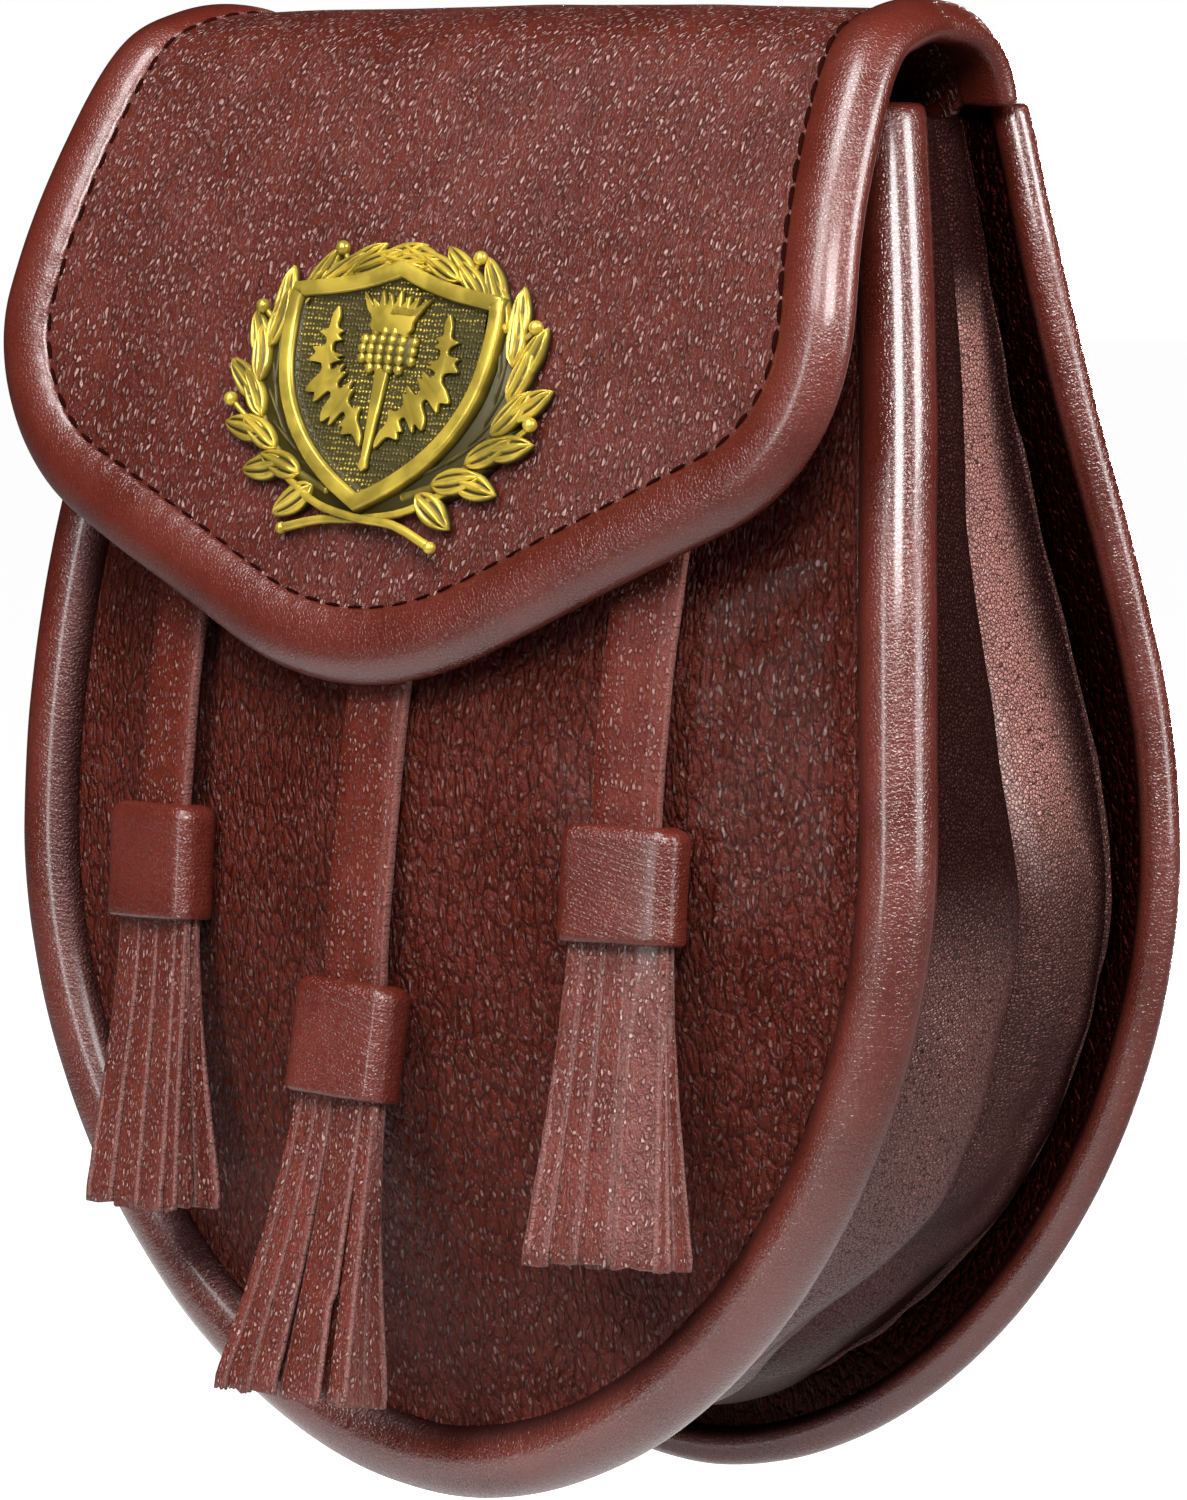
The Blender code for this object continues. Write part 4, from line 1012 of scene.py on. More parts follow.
def brass_material():
    """Antiqued brass: bright where the relief is high, olive where it is low."""
    look = settings("badge")
    material, w, shader, place = start_material("antique_brass", look.metal_colour, 0.3)
    turned = w.add("Mapping", {"vector_type": "POINT"}, Vector=place,
                   Rotation=(math.radians(-16.0), 0.0, math.radians(4.0)), Scale=1.0 / MM)
    dots = w.cells("F1", turned, 1.75, Randomness=0.30)
    stippled = dots.span(0.10, 0.55, 1.0, 0.0) * w.mark("stipple")
    patchy = (w.noise(place, 420.0, 3.0) - 0.5) * 0.25
    field = w.noise(place, 75.0, 1.0).span(0.42, 0.62, 0.10, 0.75) * stippled
    polished = (w.mark("relief") + patchy + field).span(0.15, 0.75)
    bright = w.mix(w.noise(place, 160.0, 3.0).span(0.38, 0.60), tinted(look.metal_colour, 0.55),
                   look.metal_colour)
    grit = w.noise(place, 1900.0, 3.0)
    w.fill(shader, Base_Color=w.mix(polished, look.patina_colour, bright),
           Roughness=polished.span(0.0, 1.0, 0.50, 0.27),
           Metallic=polished.span(0.0, 1.0, 0.25, 0.50),
           Normal=w.add("Bump", Strength=1.0, Distance=0.18 * MM, Height=stippled + grit * 0.12))
    return material


def floor_material():
    """Matt white floor, lit up for the camera so that it runs into the backdrop."""
    look = settings("stage")
    material, w, shader, place = start_material("pale_floor", look.floor_colour, 0.9)
    pale = w.mix(w.noise(place, 6.0, 3.0), tinted(look.floor_colour, 0.97), look.floor_colour)
    near = w.vector("MULTIPLY", w.vector("ADD", place, (0.07, 0.09, 0.0)), (1.0, 1.0, 0.0))
    away = w.vector("LENGTH", near)["Value"].span(0.10, 0.26)
    w.fill(shader, Base_Color=w.mix(away, pale, tinted(look.floor_colour, 0.14)),
           Specular_IOR_Level=0.1, Emission_Color=(1.0, 1.0, 1.0),
           Emission_Strength=w.add("LightPath")["Is Camera Ray"] * 0.98)
    return material


def finish_for(name):
    """Material by name, made the first time it is asked for."""
    found = bpy.data.materials.get(name)
    if found:
        return found
    if name in PEBBLE_FINISHES:
        return pebble_leather(name)
    if name in SMOOTH_FINISHES:
        return smooth_leather(name)
    return {"dark_thread": thread_material, "antique_brass": brass_material,
            "pale_floor": floor_material}[name]()


# ---- body pieces ----
def make_roll(roll, frames):
    """Rolled edge of uneven thickness along frames."""
    turns = [math.tau * k / roll.sides for k in range(roll.sides)]
    base = [(roll.radius * math.cos(turn), roll.radius * math.sin(turn)) for turn in turns]

    def section(along, point):
        swell = waves(point, roll.swells, 1.0)
        return [(out * swell, up * swell) for out, up in base]

    bm = new_mesh("along", "fold")
    skin(bm, roll_rings(frames, section, roll.end, roll.radius * roll.shade))
    add_piece(roll.name, bm, "roll_leather", "smooth_leather", roll.node, levels=1)


def make_front():
    """Domed front panel with its dents, and the fat roll round it, cut square at the top."""
    def place(across, half, height):
        point = front_surface(across * half, height, half)
        fade = ease((1.0 - abs(across)) / 0.25)
        point.y += fade * waves(point, FRONT_DENTS)
        drawn = ease((height - 100.0) / 22.0) * fade
        slant = math.sin(point.z * 0.55 - abs(point.x) * 0.32 + 2.0 * wander(point, 18.0, 5.5))
        point.y += drawn * slant * 0.30
        return point, point.x + 0.35 * (point.y - front_y(height)), height

    add_piece("front_panel_leather", sheet(FRONT_STATIONS, 110, place), "front_leather",
              "pebble_leather", "front_panel", wall=WALL, levels=1)
    make_roll(FRONT_ROLL, body_frames(front_y))


def make_back():
    """Back panel, which reaches a little higher to meet the flap, and its narrow roll."""
    stations = [(p.x, p.y) for p in offset_outline(0.4)]
    wide = stations[0][0]
    stations = [(wide - 0.6, TOP_HEIGHT + 2.4), (wide, TOP_HEIGHT + 1.2)] + stations

    def place(across, half, height):
        point = Vector((across * half, back_y(min(height, TOP_HEIGHT)) - WALL / 2, height))
        point.y += ease((1.0 - abs(across)) / 0.2) * waves(point, BACK_DENTS)
        return point, point.x, height

    add_piece("back_panel_leather", sheet(stations, 60, place), "back_leather", "pebble_leather",
              "back_panel", wall=WALL, levels=1)
    make_roll(BACK_ROLL, body_frames(back_y, BACK_ROLL_OUT))


GUSSET_STEPS = 6
GUSSET_SPANS = 10               # stretches of the fold line; the last ends at the raw edge
GUSSET_SEAM = 8.9               # where its stitches run, in spans


def gusset_line(height):
    """Fold line of the gusset at a height, as (inward, back) from the front roll's centre."""
    wall, valley, swell, raw = (smooth(FOLDS, name, height)
                                for name in ("wall", "valley", "swell", "raw"))
    end = back_y(height) - front_y(height) - WALL / 2
    rest = end - wall
    line = ((-0.1, FRONT_ROLL_RADIUS - 0.4), (-0.5, wall * 0.62), (-0.1, wall - 1.3),
            (valley * 0.34, wall + 0.02 * rest), (valley * 0.86, wall + 0.09 * rest),
            (valley, wall + 0.17 * rest), (swell + 0.30 * (valley - swell), wall + 0.31 * rest),
            (swell - 0.2, wall + 0.54 * rest), (swell + 0.5, wall + 0.76 * rest),
            (raw + 0.45, end - 2.0), (raw, end - 1.1))
    return through([Vector(point) for point in line], GUSSET_STEPS)


def make_gusset():
    """Bellows side wall with its long soft folds, ending in a raw edge on the back, with painted
    shade in its folds.
    """
    frames = body_frames(front_y)
    share = (TOP_HEIGHT - GUSSET_TOP) / (frames[0].point.z - frames[1].point.z)
    for end, below in ((0, 1), (-1, -2)):
        point = frames[end].point.lerp(frames[below].point, share)
        frames[end] = Frame(point, frames[end].out, frames[end].face)
    lengths = lengths_of(frames)
    columns = GUSSET_SPANS * GUSSET_STEPS
    rows = len(frames) - 1
    lines = [gusset_line(place.point.z) for place in frames]
    pitch = settings("stitch").pitch
    bm = new_mesh("along", "fold", "cut")
    layer = bm.verts.layers.float
    bmesh.ops.create_grid(bm, x_segments=columns, y_segments=rows, size=1.0)
    for vertex in bm.verts:
        row = round((1.0 - vertex.co.y) / 2.0 * rows)
        column = round((vertex.co.x + 1.0) / 2.0 * columns)
        span = column / GUSSET_STEPS
        inward, back = lines[row][column]
        spot, along = frames[row], lengths[row]
        height = spot.point.z
        side = 1.0 if spot.point.x > 0 else -1.0

        low = ease((100.0 - height) / 50.0)
        drift = noise.noise(Vector((along / 38.0, span * 0.13, side * 4.0)))
        fold = math.sin(math.tau * (0.27 * span + 0.8 * drift)) * 0.8 * low
        fold += noise.noise(Vector((along / 8.0, span * 0.55, side * 7.0))) * (0.2 + 0.6 * low)
        fold += noise.noise(Vector((along / 22.0, span * 0.25, side * 2.0))) * 0.7
        fold *= ease(span / 2.0) * ease((GUSSET_SPANS - span) / 2.5)
        pucker = 0.12 * math.cos(math.tau * along / pitch) - 0.45
        pucker *= bell(span, GUSSET_SEAM, 0.35)
        ragged = 0.22 * noise.noise(Vector((along / 1.3, side, 5.0))) * (column == columns)
        vertex.co = (spot.point + spot.out * (fold + pucker - inward)
                     + Vector((0.0, back + ragged, 0.0)))

        # Painted shade: the fold value darkens the first wall, the valley, the rear strip by the
        # raw edge, the top and the lower part.
        wall = (0.35 + 0.65 * ease((height - 62.0) / 22.0)) * ease((3.9 - span) / 0.8)
        valley = bell(span, 4.4, 1.3)
        rear = ease((span - 7.3) / 1.2) * (0.95 - 0.3 * (span > 9.5))
        top = ease((height - 146.0) / 12.0) * ease((span - 4.0) / 1.0)
        under = 0.70 * ease((97.0 - height) / 22.0) * ease((span - 3.0) / 1.5)
        vertex[layer["fold"]] = max(wall, valley, rear, top, under)
        vertex[layer["along"]] = along
        vertex[layer["cut"]] = 0.8 * (column == columns)
    bmesh.ops.reverse_faces(bm, faces=bm.faces)
    add_piece("gusset_leather", bm, "gusset_leather", "smooth_leather", "gusset",
              wall=GUSSET_WALL, levels=1)


# ---- flap pieces ----
def make_flap():
    """Flap sheet from its tail over the arch to its tip."""
    def place(across, half, along):
        point = flap_surface(across * (half + 0.8), along)
        lift = ease((1.0 - abs(across)) / 0.3) * waves(point, FLAP_DENTS)
        return point + Vector((0.0, *flap_at(along)[1])) * lift, point.x, along

    add_piece("flap_leather_sheet", sheet(flap_stations(), 72, place), "flap_leather",
              "pebble_leather", "flap", wall=FLAP_WALL, levels=1)


def make_flap_binding():
    """Padded edge band round the flap, drawn in a little at each stitch."""
    base = closed_curve(BINDING_SECTION, 3)
    pitch = settings("stitch").pitch

    def section(along, point):
        pull = 0.13 * math.cos(math.tau * along / pitch)
        swell = 1.0 + 0.02 * wander(point, 14.0, 5.3)
        points = []
        for out, up in base:
            near = bell(out, 0.0, 1.1) if up > -1.0 else 0.0
            points.append((out * swell - pull * near * 0.6, up * swell - (0.10 + pull) * near))
        return points

    bm = new_mesh("along", "fold")
    skin(bm, roll_rings(flap_frames(), section, 0.3))
    add_piece("flap_edge_band", bm, "binding_leather", "smooth_leather", "flap_binding", levels=1)


def make_stitches():
    """All sewing thread that shows."""
    up, back = Vector((0.0, 0.0, 1.0)), Vector((0.0, 1.0, 0.0))
    bm = bmesh.new()
    stitch_row(bm, flap_frames(), 2.0, -0.45, 0.10, 0.06, heavy=True)
    seam = []
    for place in body_frames(front_y)[2:-2]:
        inward, depth = gusset_line(place.point.z)[round(GUSSET_SEAM * GUSSET_STEPS)]
        seam.append(Frame(place.point - place.out * inward + back * depth, place.out, place.out))
    stitch_row(bm, seam, 1.0, up=-0.18, tilt=0.0)
    rear = [Frame(f.point + back * 1.05 - f.out * 3.6, f.out, back)
            for f in body_frames(back_y, BACK_ROLL_OUT)]
    stitch_row(bm, rear, 2.0)
    for z in LOOP_SEAMS:
        y = back_y(z) + WALL / 2 + 0.5 + LOOP_WALL
        stitch_row(bm, [Frame(Vector((x, y, z)), up, back)
                        for x in (-LOOP_HALF_WIDTH + 2.0, LOOP_HALF_WIDTH - 2.0)], 0.0)
    add_piece("stitches", bm, "dark_thread", "smooth_leather")


# ---- straps and tassels ----
def strap_surface(tassel, x, height):
    """Outer face of a strap that hangs from under the flap and leaves the panel near its cap."""
    stand = smooth(HANGS, "side" if tassel.x else "centre", height - tassel.cap_top)
    stand += STRAP_WALL + math.tan(math.radians(tassel.lean)) * max(tassel.cap_top - height, 0.0)
    across = x * math.tan(math.radians(tassel.yaw))
    panel = front_surface(tassel.x, max(height, tassel.cap_top)).y
    return Vector((tassel.x + x, panel - stand + across, height))


def strip_section(width, wall, corner):
    """Flat strip's section with its raw-edge value for each point, front first."""
    half, deep = width / 2, wall / 2
    inner = half - corner
    points, cuts = [], []
    for sign in (-1, 1):
        points += [(sign * -inner + sign * inner * k / 2, sign * deep) for k in range(5)]
        points += [(sign * half, sign * -y * deep) for y in (-0.6, 0.0, 0.6)]
        cuts += [0.0] * 5 + [1.0] * 3
    return points, cuts


def make_strap(tassel):
    """Strap with raw edges."""
    low = tassel.cap_top - CAP_LIP - STRAP_INSERT
    section, cuts = strip_section(STRAP_WIDTH, STRAP_WALL, 0.25)
    bm = new_mesh("cut", "across", "along")
    rings = []
    steps = 70
    yaw = math.radians(tassel.yaw)
    across = Vector((math.cos(yaw), math.sin(yaw), 0.0))
    back = Vector((-math.sin(yaw), math.cos(yaw), 0.0))
    for step in range(steps + 1):
        height = STRAP_TOP + (low - STRAP_TOP) * step / steps
        middle = strap_surface(tassel, 0.0, height) + back * STRAP_WALL / 2
        ragged = 1.0 + 0.012 * noise.noise(Vector((height / 2.5, tassel.x, 0.0)))
        middle += back * 0.25 * noise.noise(Vector((height / 12.0, tassel.x, 3.0)))
        points = [middle + across * x * ragged + back * y for x, y in section]
        rings.append(Ring(points, {"cut": cuts, "along": height,
                                   "across": [tassel.x + x for x, y in section]}))
    skin(bm, rings)
    add_piece("strap_leather_" + tassel.name, bm, "strap_leather", "pebble_leather",
              "strap_" + tassel.name)


def tassel_seat(tassel):
    """Transform from the tassel's own frame, with its origin at the cap's top, to the pouch."""
    seat = strap_surface(tassel, 0.0, tassel.cap_top) + Vector((0.0, STRAP_WALL / 2, 0.0))
    turn = (Matrix.Rotation(math.radians(tassel.yaw), 4, "Z")
            @ Matrix.Rotation(math.radians(tassel.roll), 4, "Y")
            @ Matrix.Rotation(math.radians(-tassel.lean), 4, "X"))
    return Matrix.Translation(seat) @ turn


def soft_rectangle(width, depth, radius, z, bulge=0.0):
    """Ring with rounded corners and slightly swelling long sides."""
    ring = []
    radius = min(radius, width / 2 - 0.01, depth / 2 - 0.01)
    across, deep = width / 2 - radius, depth / 2 - radius
    for corner, (sx, sy) in enumerate(((1, 1), (-1, 1), (-1, -1), (1, -1))):
        for step in range(7):
            turn = math.radians(90.0 * corner + 15.0 * step)
            ring.append(Vector((sx * across + radius * math.cos(turn),
                                sy * deep + radius * math.sin(turn), z)))
        if corner in (0, 2):
            for k in (1, 2, 3, 4):
                x = sx * across * (1.0 - k / 2.5)
                ring.append(Vector((x, sy * (deep + radius), z)))
    for point in ring:
        point.y += math.copysign(bulge * max(1.0 - (2 * point.x / width) ** 2, 0.0), point.y)
    return ring


def make_cap(tassel):
    """Leather sleeve with soft shoulders round the strap."""
    width, thick = tassel.cap_width, CAP_THICKNESS
    bulge, corner, steps = 0.5, 2.3, 7
    bore = (width - 2 * CAP_WALL, thick - 2 * CAP_WALL, 0.9)
    slot = (STRAP_WIDTH + 0.5, STRAP_WALL + 0.5, 0.4)
    rings = [soft_rectangle(*bore, -CAP_HEIGHT + 0.1, 0.2)]
    for less, rise in ((0.9, 0.0), (0.2, 0.25), (0.0, 0.7)):
        rings.append(soft_rectangle(width - less, thick - less, corner, -CAP_HEIGHT + rise, bulge))
    for k in range(1, steps + 1):
        z = -CAP_HEIGHT + 0.7 + (CAP_HEIGHT - 2.7) * k / steps
        waist = 0.16 * math.sin(math.pi * k / steps)
        rings.append(soft_rectangle(width - waist, thick - waist, corner, z, bulge))
    for k in range(1, steps + 1):
        turn = math.radians(90.0) * k / steps
        inset = 1.0 - math.cos(turn)
        rings.append(soft_rectangle(width - 4.6 * inset, thick - 2.5 * inset, corner - 0.8 * inset,
                                    -2.0 + 2.0 * math.sin(turn), bulge * (1 - inset)))
    rings += [soft_rectangle(*slot, -0.15), soft_rectangle(*slot, -0.9),
              soft_rectangle(*bore, -CAP_LIP - 0.2), soft_rectangle(*bore, -CAP_HEIGHT + 1.0, 0.2)]
    for ring in rings:
        for point in ring:
            point += Vector((0.0, 0.0, 0.12 * wander(point, 4.0, tassel.x)))
    bm = new_mesh("along")
    skin(bm, [Ring(ring, {"along": ring[0].z}) for ring in rings], closed=True)
    bm.transform(tassel_seat(tassel))
    add_piece("cap_leather_" + tassel.name, bm, "cap_leather", "smooth_leather",
              "cap_" + tassel.name, levels=1)


Strip = namedtuple("Strip", "top foot width turn drop notch")


def fringe_strip(bm, rng, strip, offset):
    """One strip of the fringe from inside the cap to its cut end."""
    section, cuts = strip_section(1.0, 1.0, 0.10)
    phase, wave = rng.uniform(0.0, math.tau), rng.uniform(0.04, 0.16)
    rings = []
    for step in range(FRINGE_STEPS + 1):
        t = step / FRINGE_STEPS
        flare = min(2.0 * ease(t * 0.5 + 0.02), 1.0)
        z = -CAP_HEIGHT + 3.0 - (strip.drop + 3.0) * t
        x, y = (a + (b - a) * flare for a, b in zip(strip.top, strip.foot))
        x += 0.10 * math.sin(phase + 5.0 * t) * t
        y += wave * math.sin(phase + 7.0 * t) * t
        turn = strip.turn * (0.35 + 0.65 * ease(t / 0.6))
        wide = strip.width[0] + (strip.width[1] - strip.width[0]) * flare
        across = Vector((math.cos(turn), math.sin(turn)))
        points, skin_across = [], []
        for a, b in section:
            edge = 0.11 * noise.noise(Vector((z / 0.8, phase, a * 3.0))) * (abs(a) > 0.45)
            if a > 0.3 and t > 0.67:
                edge -= strip.notch
            a, b = a * wide + edge, b * FRINGE_WALL
            end = 0.60 * noise.noise(Vector((a * 1.7, phase, 2.0))) * (step == FRINGE_STEPS)
            points.append(Vector((x + a * across.x - b * across.y,
                                  y + a * across.y + b * across.x, z + end)))
            skin_across.append(offset + a)
        rings.append(Ring(points, {"cut": cuts, "across": skin_across, "along": z}))
    last = rings[-1]
    middle = sum(last.points, Vector()) / len(section)
    rings.append(Ring([middle.lerp(p, 0.93) + Vector((0, 0, (p - middle).z * 0.07 - 0.1))
                       for p in last.points], dict(last.marks, cut=1.0)))
    skin(bm, rings)


def make_fringe(tassel):
    """Hand-cut fringe: a few strips of several widths folded round the head."""
    rng = random.Random("fringe " + tassel.name)
    inner = tassel.cap_width - 2 * CAP_WALL - 0.4
    half_deep = tassel.depth / 2
    strips = []
    for widths, side, spread in ((tassel.front_strips, -1, 1.0), *HIDDEN_STRIPS):
        total = sum(widths)
        start = -total / 2
        for item in widths:
            middle = (start + item / 2) / total
            start += item
            flared = item == FLARED_STRIP
            turn = -0.03 - 0.10 * rng.random() - 0.10 * (middle > 0.12)
            turn = 0.30 if flared else turn
            gap = rng.uniform(-0.15, 0.12)
            back = side * (half_deep - 0.55 - rng.uniform(0.0, 0.3)) + 0.6 * flared
            shorter = rng.uniform(0.0, 0.9) if abs(side) == 1 else 1.2
            strips.append(Strip(
                top=(middle * inner * spread, side * 0.75),
                foot=(middle * tassel.width * spread + tassel.sway, back),
                width=(item / total * inner * spread + 0.05,
                       item / total * tassel.width * spread - gap),
                turn=turn if side < 0 else -turn, drop=tassel.fringe - shorter,
                notch=0.8 if item == NOTCHED_STRIP else 0.0))
    for end in (-1, 1):
        for place, swing in ((-0.46, 0.5), (0.50, 0.2)):
            across = end * (tassel.width / 2 - 0.7 - 0.5 * rng.random()) + tassel.sway
            strips.append(Strip(
                top=(end * (inner / 2 - 0.4), place * 1.1), foot=(across, place * half_deep * 1.1),
                width=(1.0, half_deep * 0.86), turn=math.radians(90.0 - end * 14.0 * swing),
                drop=tassel.fringe - rng.uniform(0.2, 0.8), notch=0.0))
    bm = new_mesh("cut", "across", "along")
    for index, strip in enumerate(strips):
        fringe_strip(bm, rng, strip, tassel.x + 7.0 * index)
    bm.transform(tassel_seat(tassel))
    add_piece("fringe_" + tassel.name, bm, "fringe_leather", "pebble_leather",
              "skirt_" + tassel.name)


# ---- badge ----
def badge_seat():
    """Transform from the badge's own frame to the pouch: x right, y up the flap, z out."""
    centre, upper, lower = (flap_surface(0.0, flap_along(BADGE_HEIGHT + step))
                            for step in (0.0, 16.0, -14.0))
    rise = (upper - lower).normalized()
    right = Vector((1.0, 0.0, 0.0))
    outward = right.cross(rise).normalized()
    basis = Matrix((right, rise, outward)).transposed().to_4x4()
    return Matrix.Translation(centre + outward * 0.35) @ basis @ Matrix.Rotation(BADGE_TURN, 4, "Z")


def shield_outline(inset):
    """Edge of the shield, moved in: its right half from peak to tip, then its left half."""
    brow = through([Vector(p) for p in SHIELD_BROW], 5)
    flank = through([Vector(p) for p in SHIELD_FLANK], 4)
    right = brow[:-1] + flank
    whole = right + [Vector((-p.x, p.y)) for p in right[-2:0:-1]]
    moved = []
    for index, point in enumerate(whole):
        before, after = whole[index - 1], whole[(index + 1) % len(whole)]
        first, second = (point - before).normalized(), (after - point).normalized()
        first, second = Vector((first.y, -first.x)), Vector((second.y, -second.x))
        moved.append(point + (first + second) * inset / (1.0 + first.dot(second)))
    return moved


def flat_ring(outline, z, relief, stipple=0.0):
    return Ring([Vector((*point, z)) for point in outline], {"relief": relief, "stipple": stipple})


def add_raised(bm, outline, low, high, edge):
    """Flat-topped relief with softened edges."""
    outline = [Vector(point) for point in outline]
    ahead = outline[1:] + outline[:1]
    turning = sum(a.x * b.y - b.x * a.y for a, b in zip(outline, ahead))
    drawn = []
    for before, point, after in zip(outline[-1:] + outline, outline, ahead):
        first, second = (point - before).normalized(), (after - point).normalized()
        normal = Vector((-(first.y + second.y), first.x + second.x))
        normal = normal.normalized() if normal.length > 0.05 else Vector((0.0, 0.0))
        drawn.append(point + normal * math.copysign(edge, turning))
    shoulder = [point.lerp(inner, 0.55) for point, inner in zip(outline, drawn)]
    skin(bm, [flat_ring(outline, low, 0.1), flat_ring(outline, high - edge * 0.8, 0.55),
              flat_ring(shoulder, high - edge * 0.2, 0.95), flat_ring(drawn, high, 1.0)])


def add_shield(bm):
    """Shield with a raised rim round a stippled field."""
    skin(bm, [flat_ring(shield_outline(inset), z, relief, stipple)
              for inset, z, relief, stipple in SHIELD_RINGS])


def leaf_half(t):
    """Half width of a laurel leaf along its length, of a greatest half width of one."""
    return max(math.sin(math.pi * min(t, 1.0) ** 0.85), 0.0) ** 0.75


def add_leaf(bm, root, heading, length, width, base, bright):
    """Laurel leaf: a broad rim and a midrib with a groove on each side, closed down to its base."""
    rows, columns = 12, 20
    made = bmesh.ops.create_grid(bm, x_segments=columns, y_segments=rows, size=1.0)["verts"]
    relief = bm.verts.layers.float["relief"]
    side = Vector((heading.y, -heading.x))
    for vertex in made:
        s, t = vertex.co.x, (vertex.co.y + 1.0) / 2.0
        full = ease(min(t, 1.0 - t) * 6.0)
        groove = bell(abs(s), 0.42, 0.17) * full
        round_off = 1.0 - abs(s) ** 4
        height = base + (0.45 + 0.65 * round_off) * (0.5 + 0.5 * full) - 0.55 * groove
        height += 0.25 * bell(s, 0.0, 0.2) * full - 0.35 * t
        spot = root + heading * length * t + side * width / 2 * (leaf_half(t) * 0.97 + 0.03) * s
        vertex.co = Vector((spot.x, spot.y, height))
        vertex[relief] = (1.0 - 0.95 * groove - 0.5 * ease((abs(s) - 0.9) * 10.0)) * bright
    edges = [edge for edge in {e for v in made for e in v.link_edges} if edge.is_boundary]
    wall = bmesh.ops.extrude_edge_only(bm, edges=edges)["geom"]
    low = [item for item in wall if isinstance(item, bmesh.types.BMVert)]
    for vertex in low:
        vertex.co.z = 0.3
        vertex[relief] = 0.0
    rim_edges = [item for item in wall if isinstance(item, bmesh.types.BMEdge)
                 and item.verts[0] in low and item.verts[1] in low]
    bmesh.ops.contextual_create(bm, geom=rim_edges)


def add_tube(bm, line, radii, relief):
    """Round stem along a line, with rounded ends."""
    points = through([Vector(p) for p in line], 6)
    rings = []
    count, sides = len(points) - 1, 12
    for index, point in enumerate(points):
        travel = heading_at(points, index)
        side = travel.cross(Vector((0, 0, 1))).normalized()
        up = side.cross(travel)
        radius = radii[0] + (radii[1] - radii[0]) * index / count
        turns = [math.tau * k / sides for k in range(sides)]
        rings.append(Ring([point + (side * math.cos(turn) + up * math.sin(turn)) * radius
                           for turn in turns], {"relief": relief}))
    for index, inner in ((0, 1), (-1, -2)):
        ring = rings[index].points
        middle = sum(ring, Vector()) / sides
        neighbour = sum(rings[inner].points, Vector()) / sides
        out = (middle - neighbour).normalized() * (ring[0] - middle).length
        for push, size in ((0.5, 0.86), (0.85, 0.5)):
            cap = Ring([middle + out * push + (p - middle) * size for p in ring], {"relief": 1.0})
            rings.insert(0 if index == 0 else len(rings), cap)
    skin(bm, rings)


def thistle_leaf(side):
    """Outline of a lobed thistle leaf that curls up beside the stem."""
    rib = through([Vector(point) for point in LEAF_RIB], 8)
    count = len(rib) - 1

    def spot(t, away):
        index = min(int(t * count), count - 1)
        point = rib[index].lerp(rib[index + 1], t * count - index)
        travel = (rib[index + 1] - rib[index]).normalized()
        return point + Vector((travel.y, -travel.x)) * away

    outline = closed_curve([spot(t, away) for t, away in LEAF_LOBES], 3)
    return [(side * p.x, p.y) for p in outline]


def add_thistle(bm):
    """Thistle: scaled bulb, tufted flower, tapering stem and two lobed leaves."""
    low, middle = 1.8, 7.1
    bulb = add_ball(bm, 28, 14, 1.0, (0.0, middle, low), Matrix.Diagonal((4.7, 3.0, 1.1, 1.0)))
    mark(bm, bulb, {"relief": 0.20})
    for row, (y, count, reach) in enumerate(THISTLE_SCALES):
        for k in range(count):
            x = reach * (2.0 * k / (count - 1) - 1.0) * (1.0 if row % 2 else 0.92)
            crown = max(1 - (x / 4.9) ** 2 - ((y - middle) / 3.4) ** 2, 0.05)
            height = low + 1.1 * math.sqrt(crown)
            scale = bmesh.ops.create_cone(bm, cap_ends=True, segments=6, radius1=0.98, radius2=0.58,
                                          depth=0.7, matrix=Matrix.Translation((x, y, height))
                                          @ Matrix.Diagonal((0.85, 0.95, 1.0, 1.0)))["verts"]
            mark(bm, scale, {"relief": [1.0 if v.co.z > height else 0.30 for v in scale]})
    add_raised(bm, closed_curve(THISTLE_VASE, 2), low, 2.8, 0.12)
    for foot, x, y in THISTLE_FLAMES:
        flame = [(foot - 0.75, 11.6), (foot + 0.75, 11.6), (0.45 * foot + 0.55 * x + 0.50, 12.9),
                 (x + 0.10, y - 0.1), (x - 0.10, y), (0.45 * foot + 0.55 * x - 0.50, 12.9)]
        add_raised(bm, closed_curve(flame, 3), low, 2.75 + 0.05 * (x > 0), 0.10)
    add_raised(bm, THISTLE_STEM, low, 2.80, 0.2)
    for side in (-1, 1):
        add_raised(bm, thistle_leaf(side), low, 2.7, 0.10)


def wreath_point(side, turn, scale=1.0):
    """Point of a branch, which follows half an ellipse round the shield."""
    return Vector((side * WREATH_ACROSS * scale * math.cos(turn),
                   WREATH_MIDDLE + WREATH_UP * scale * math.sin(turn)))


def add_branch(bm, rng, side):
    """Laurel branch: its stem, and three rows of leaves that grow smaller towards the top."""
    turns = [math.radians(-72.0 + 158.0 * step / 8) for step in range(9)]
    add_tube(bm, [(*wreath_point(side, turn), 0.9) for turn in turns], (0.6, 0.4), 0.3)
    pairs = settings("badge").leaf_pairs
    for row in LEAF_ROWS:
        count = pairs + row.more
        for pair in range(count):
            t = pair / (count - 1)
            turn = math.radians(row.start + (row.stop - row.start) * t)
            heading = Vector((-side * WREATH_ACROSS * math.sin(turn), WREATH_UP * math.cos(turn)))
            splay, length, width, base = (a + b * t for a, b in zip(row.foot, row.change))
            course = (Matrix.Rotation(side * (splay + rng.uniform(-0.06, 0.06)), 2)
                      @ heading.normalized())
            add_leaf(bm, wreath_point(side, turn, row.scale), course,
                     length * rng.uniform(0.95, 1.03), width, base + rng.uniform(-0.08, 0.08),
                     row.bright)


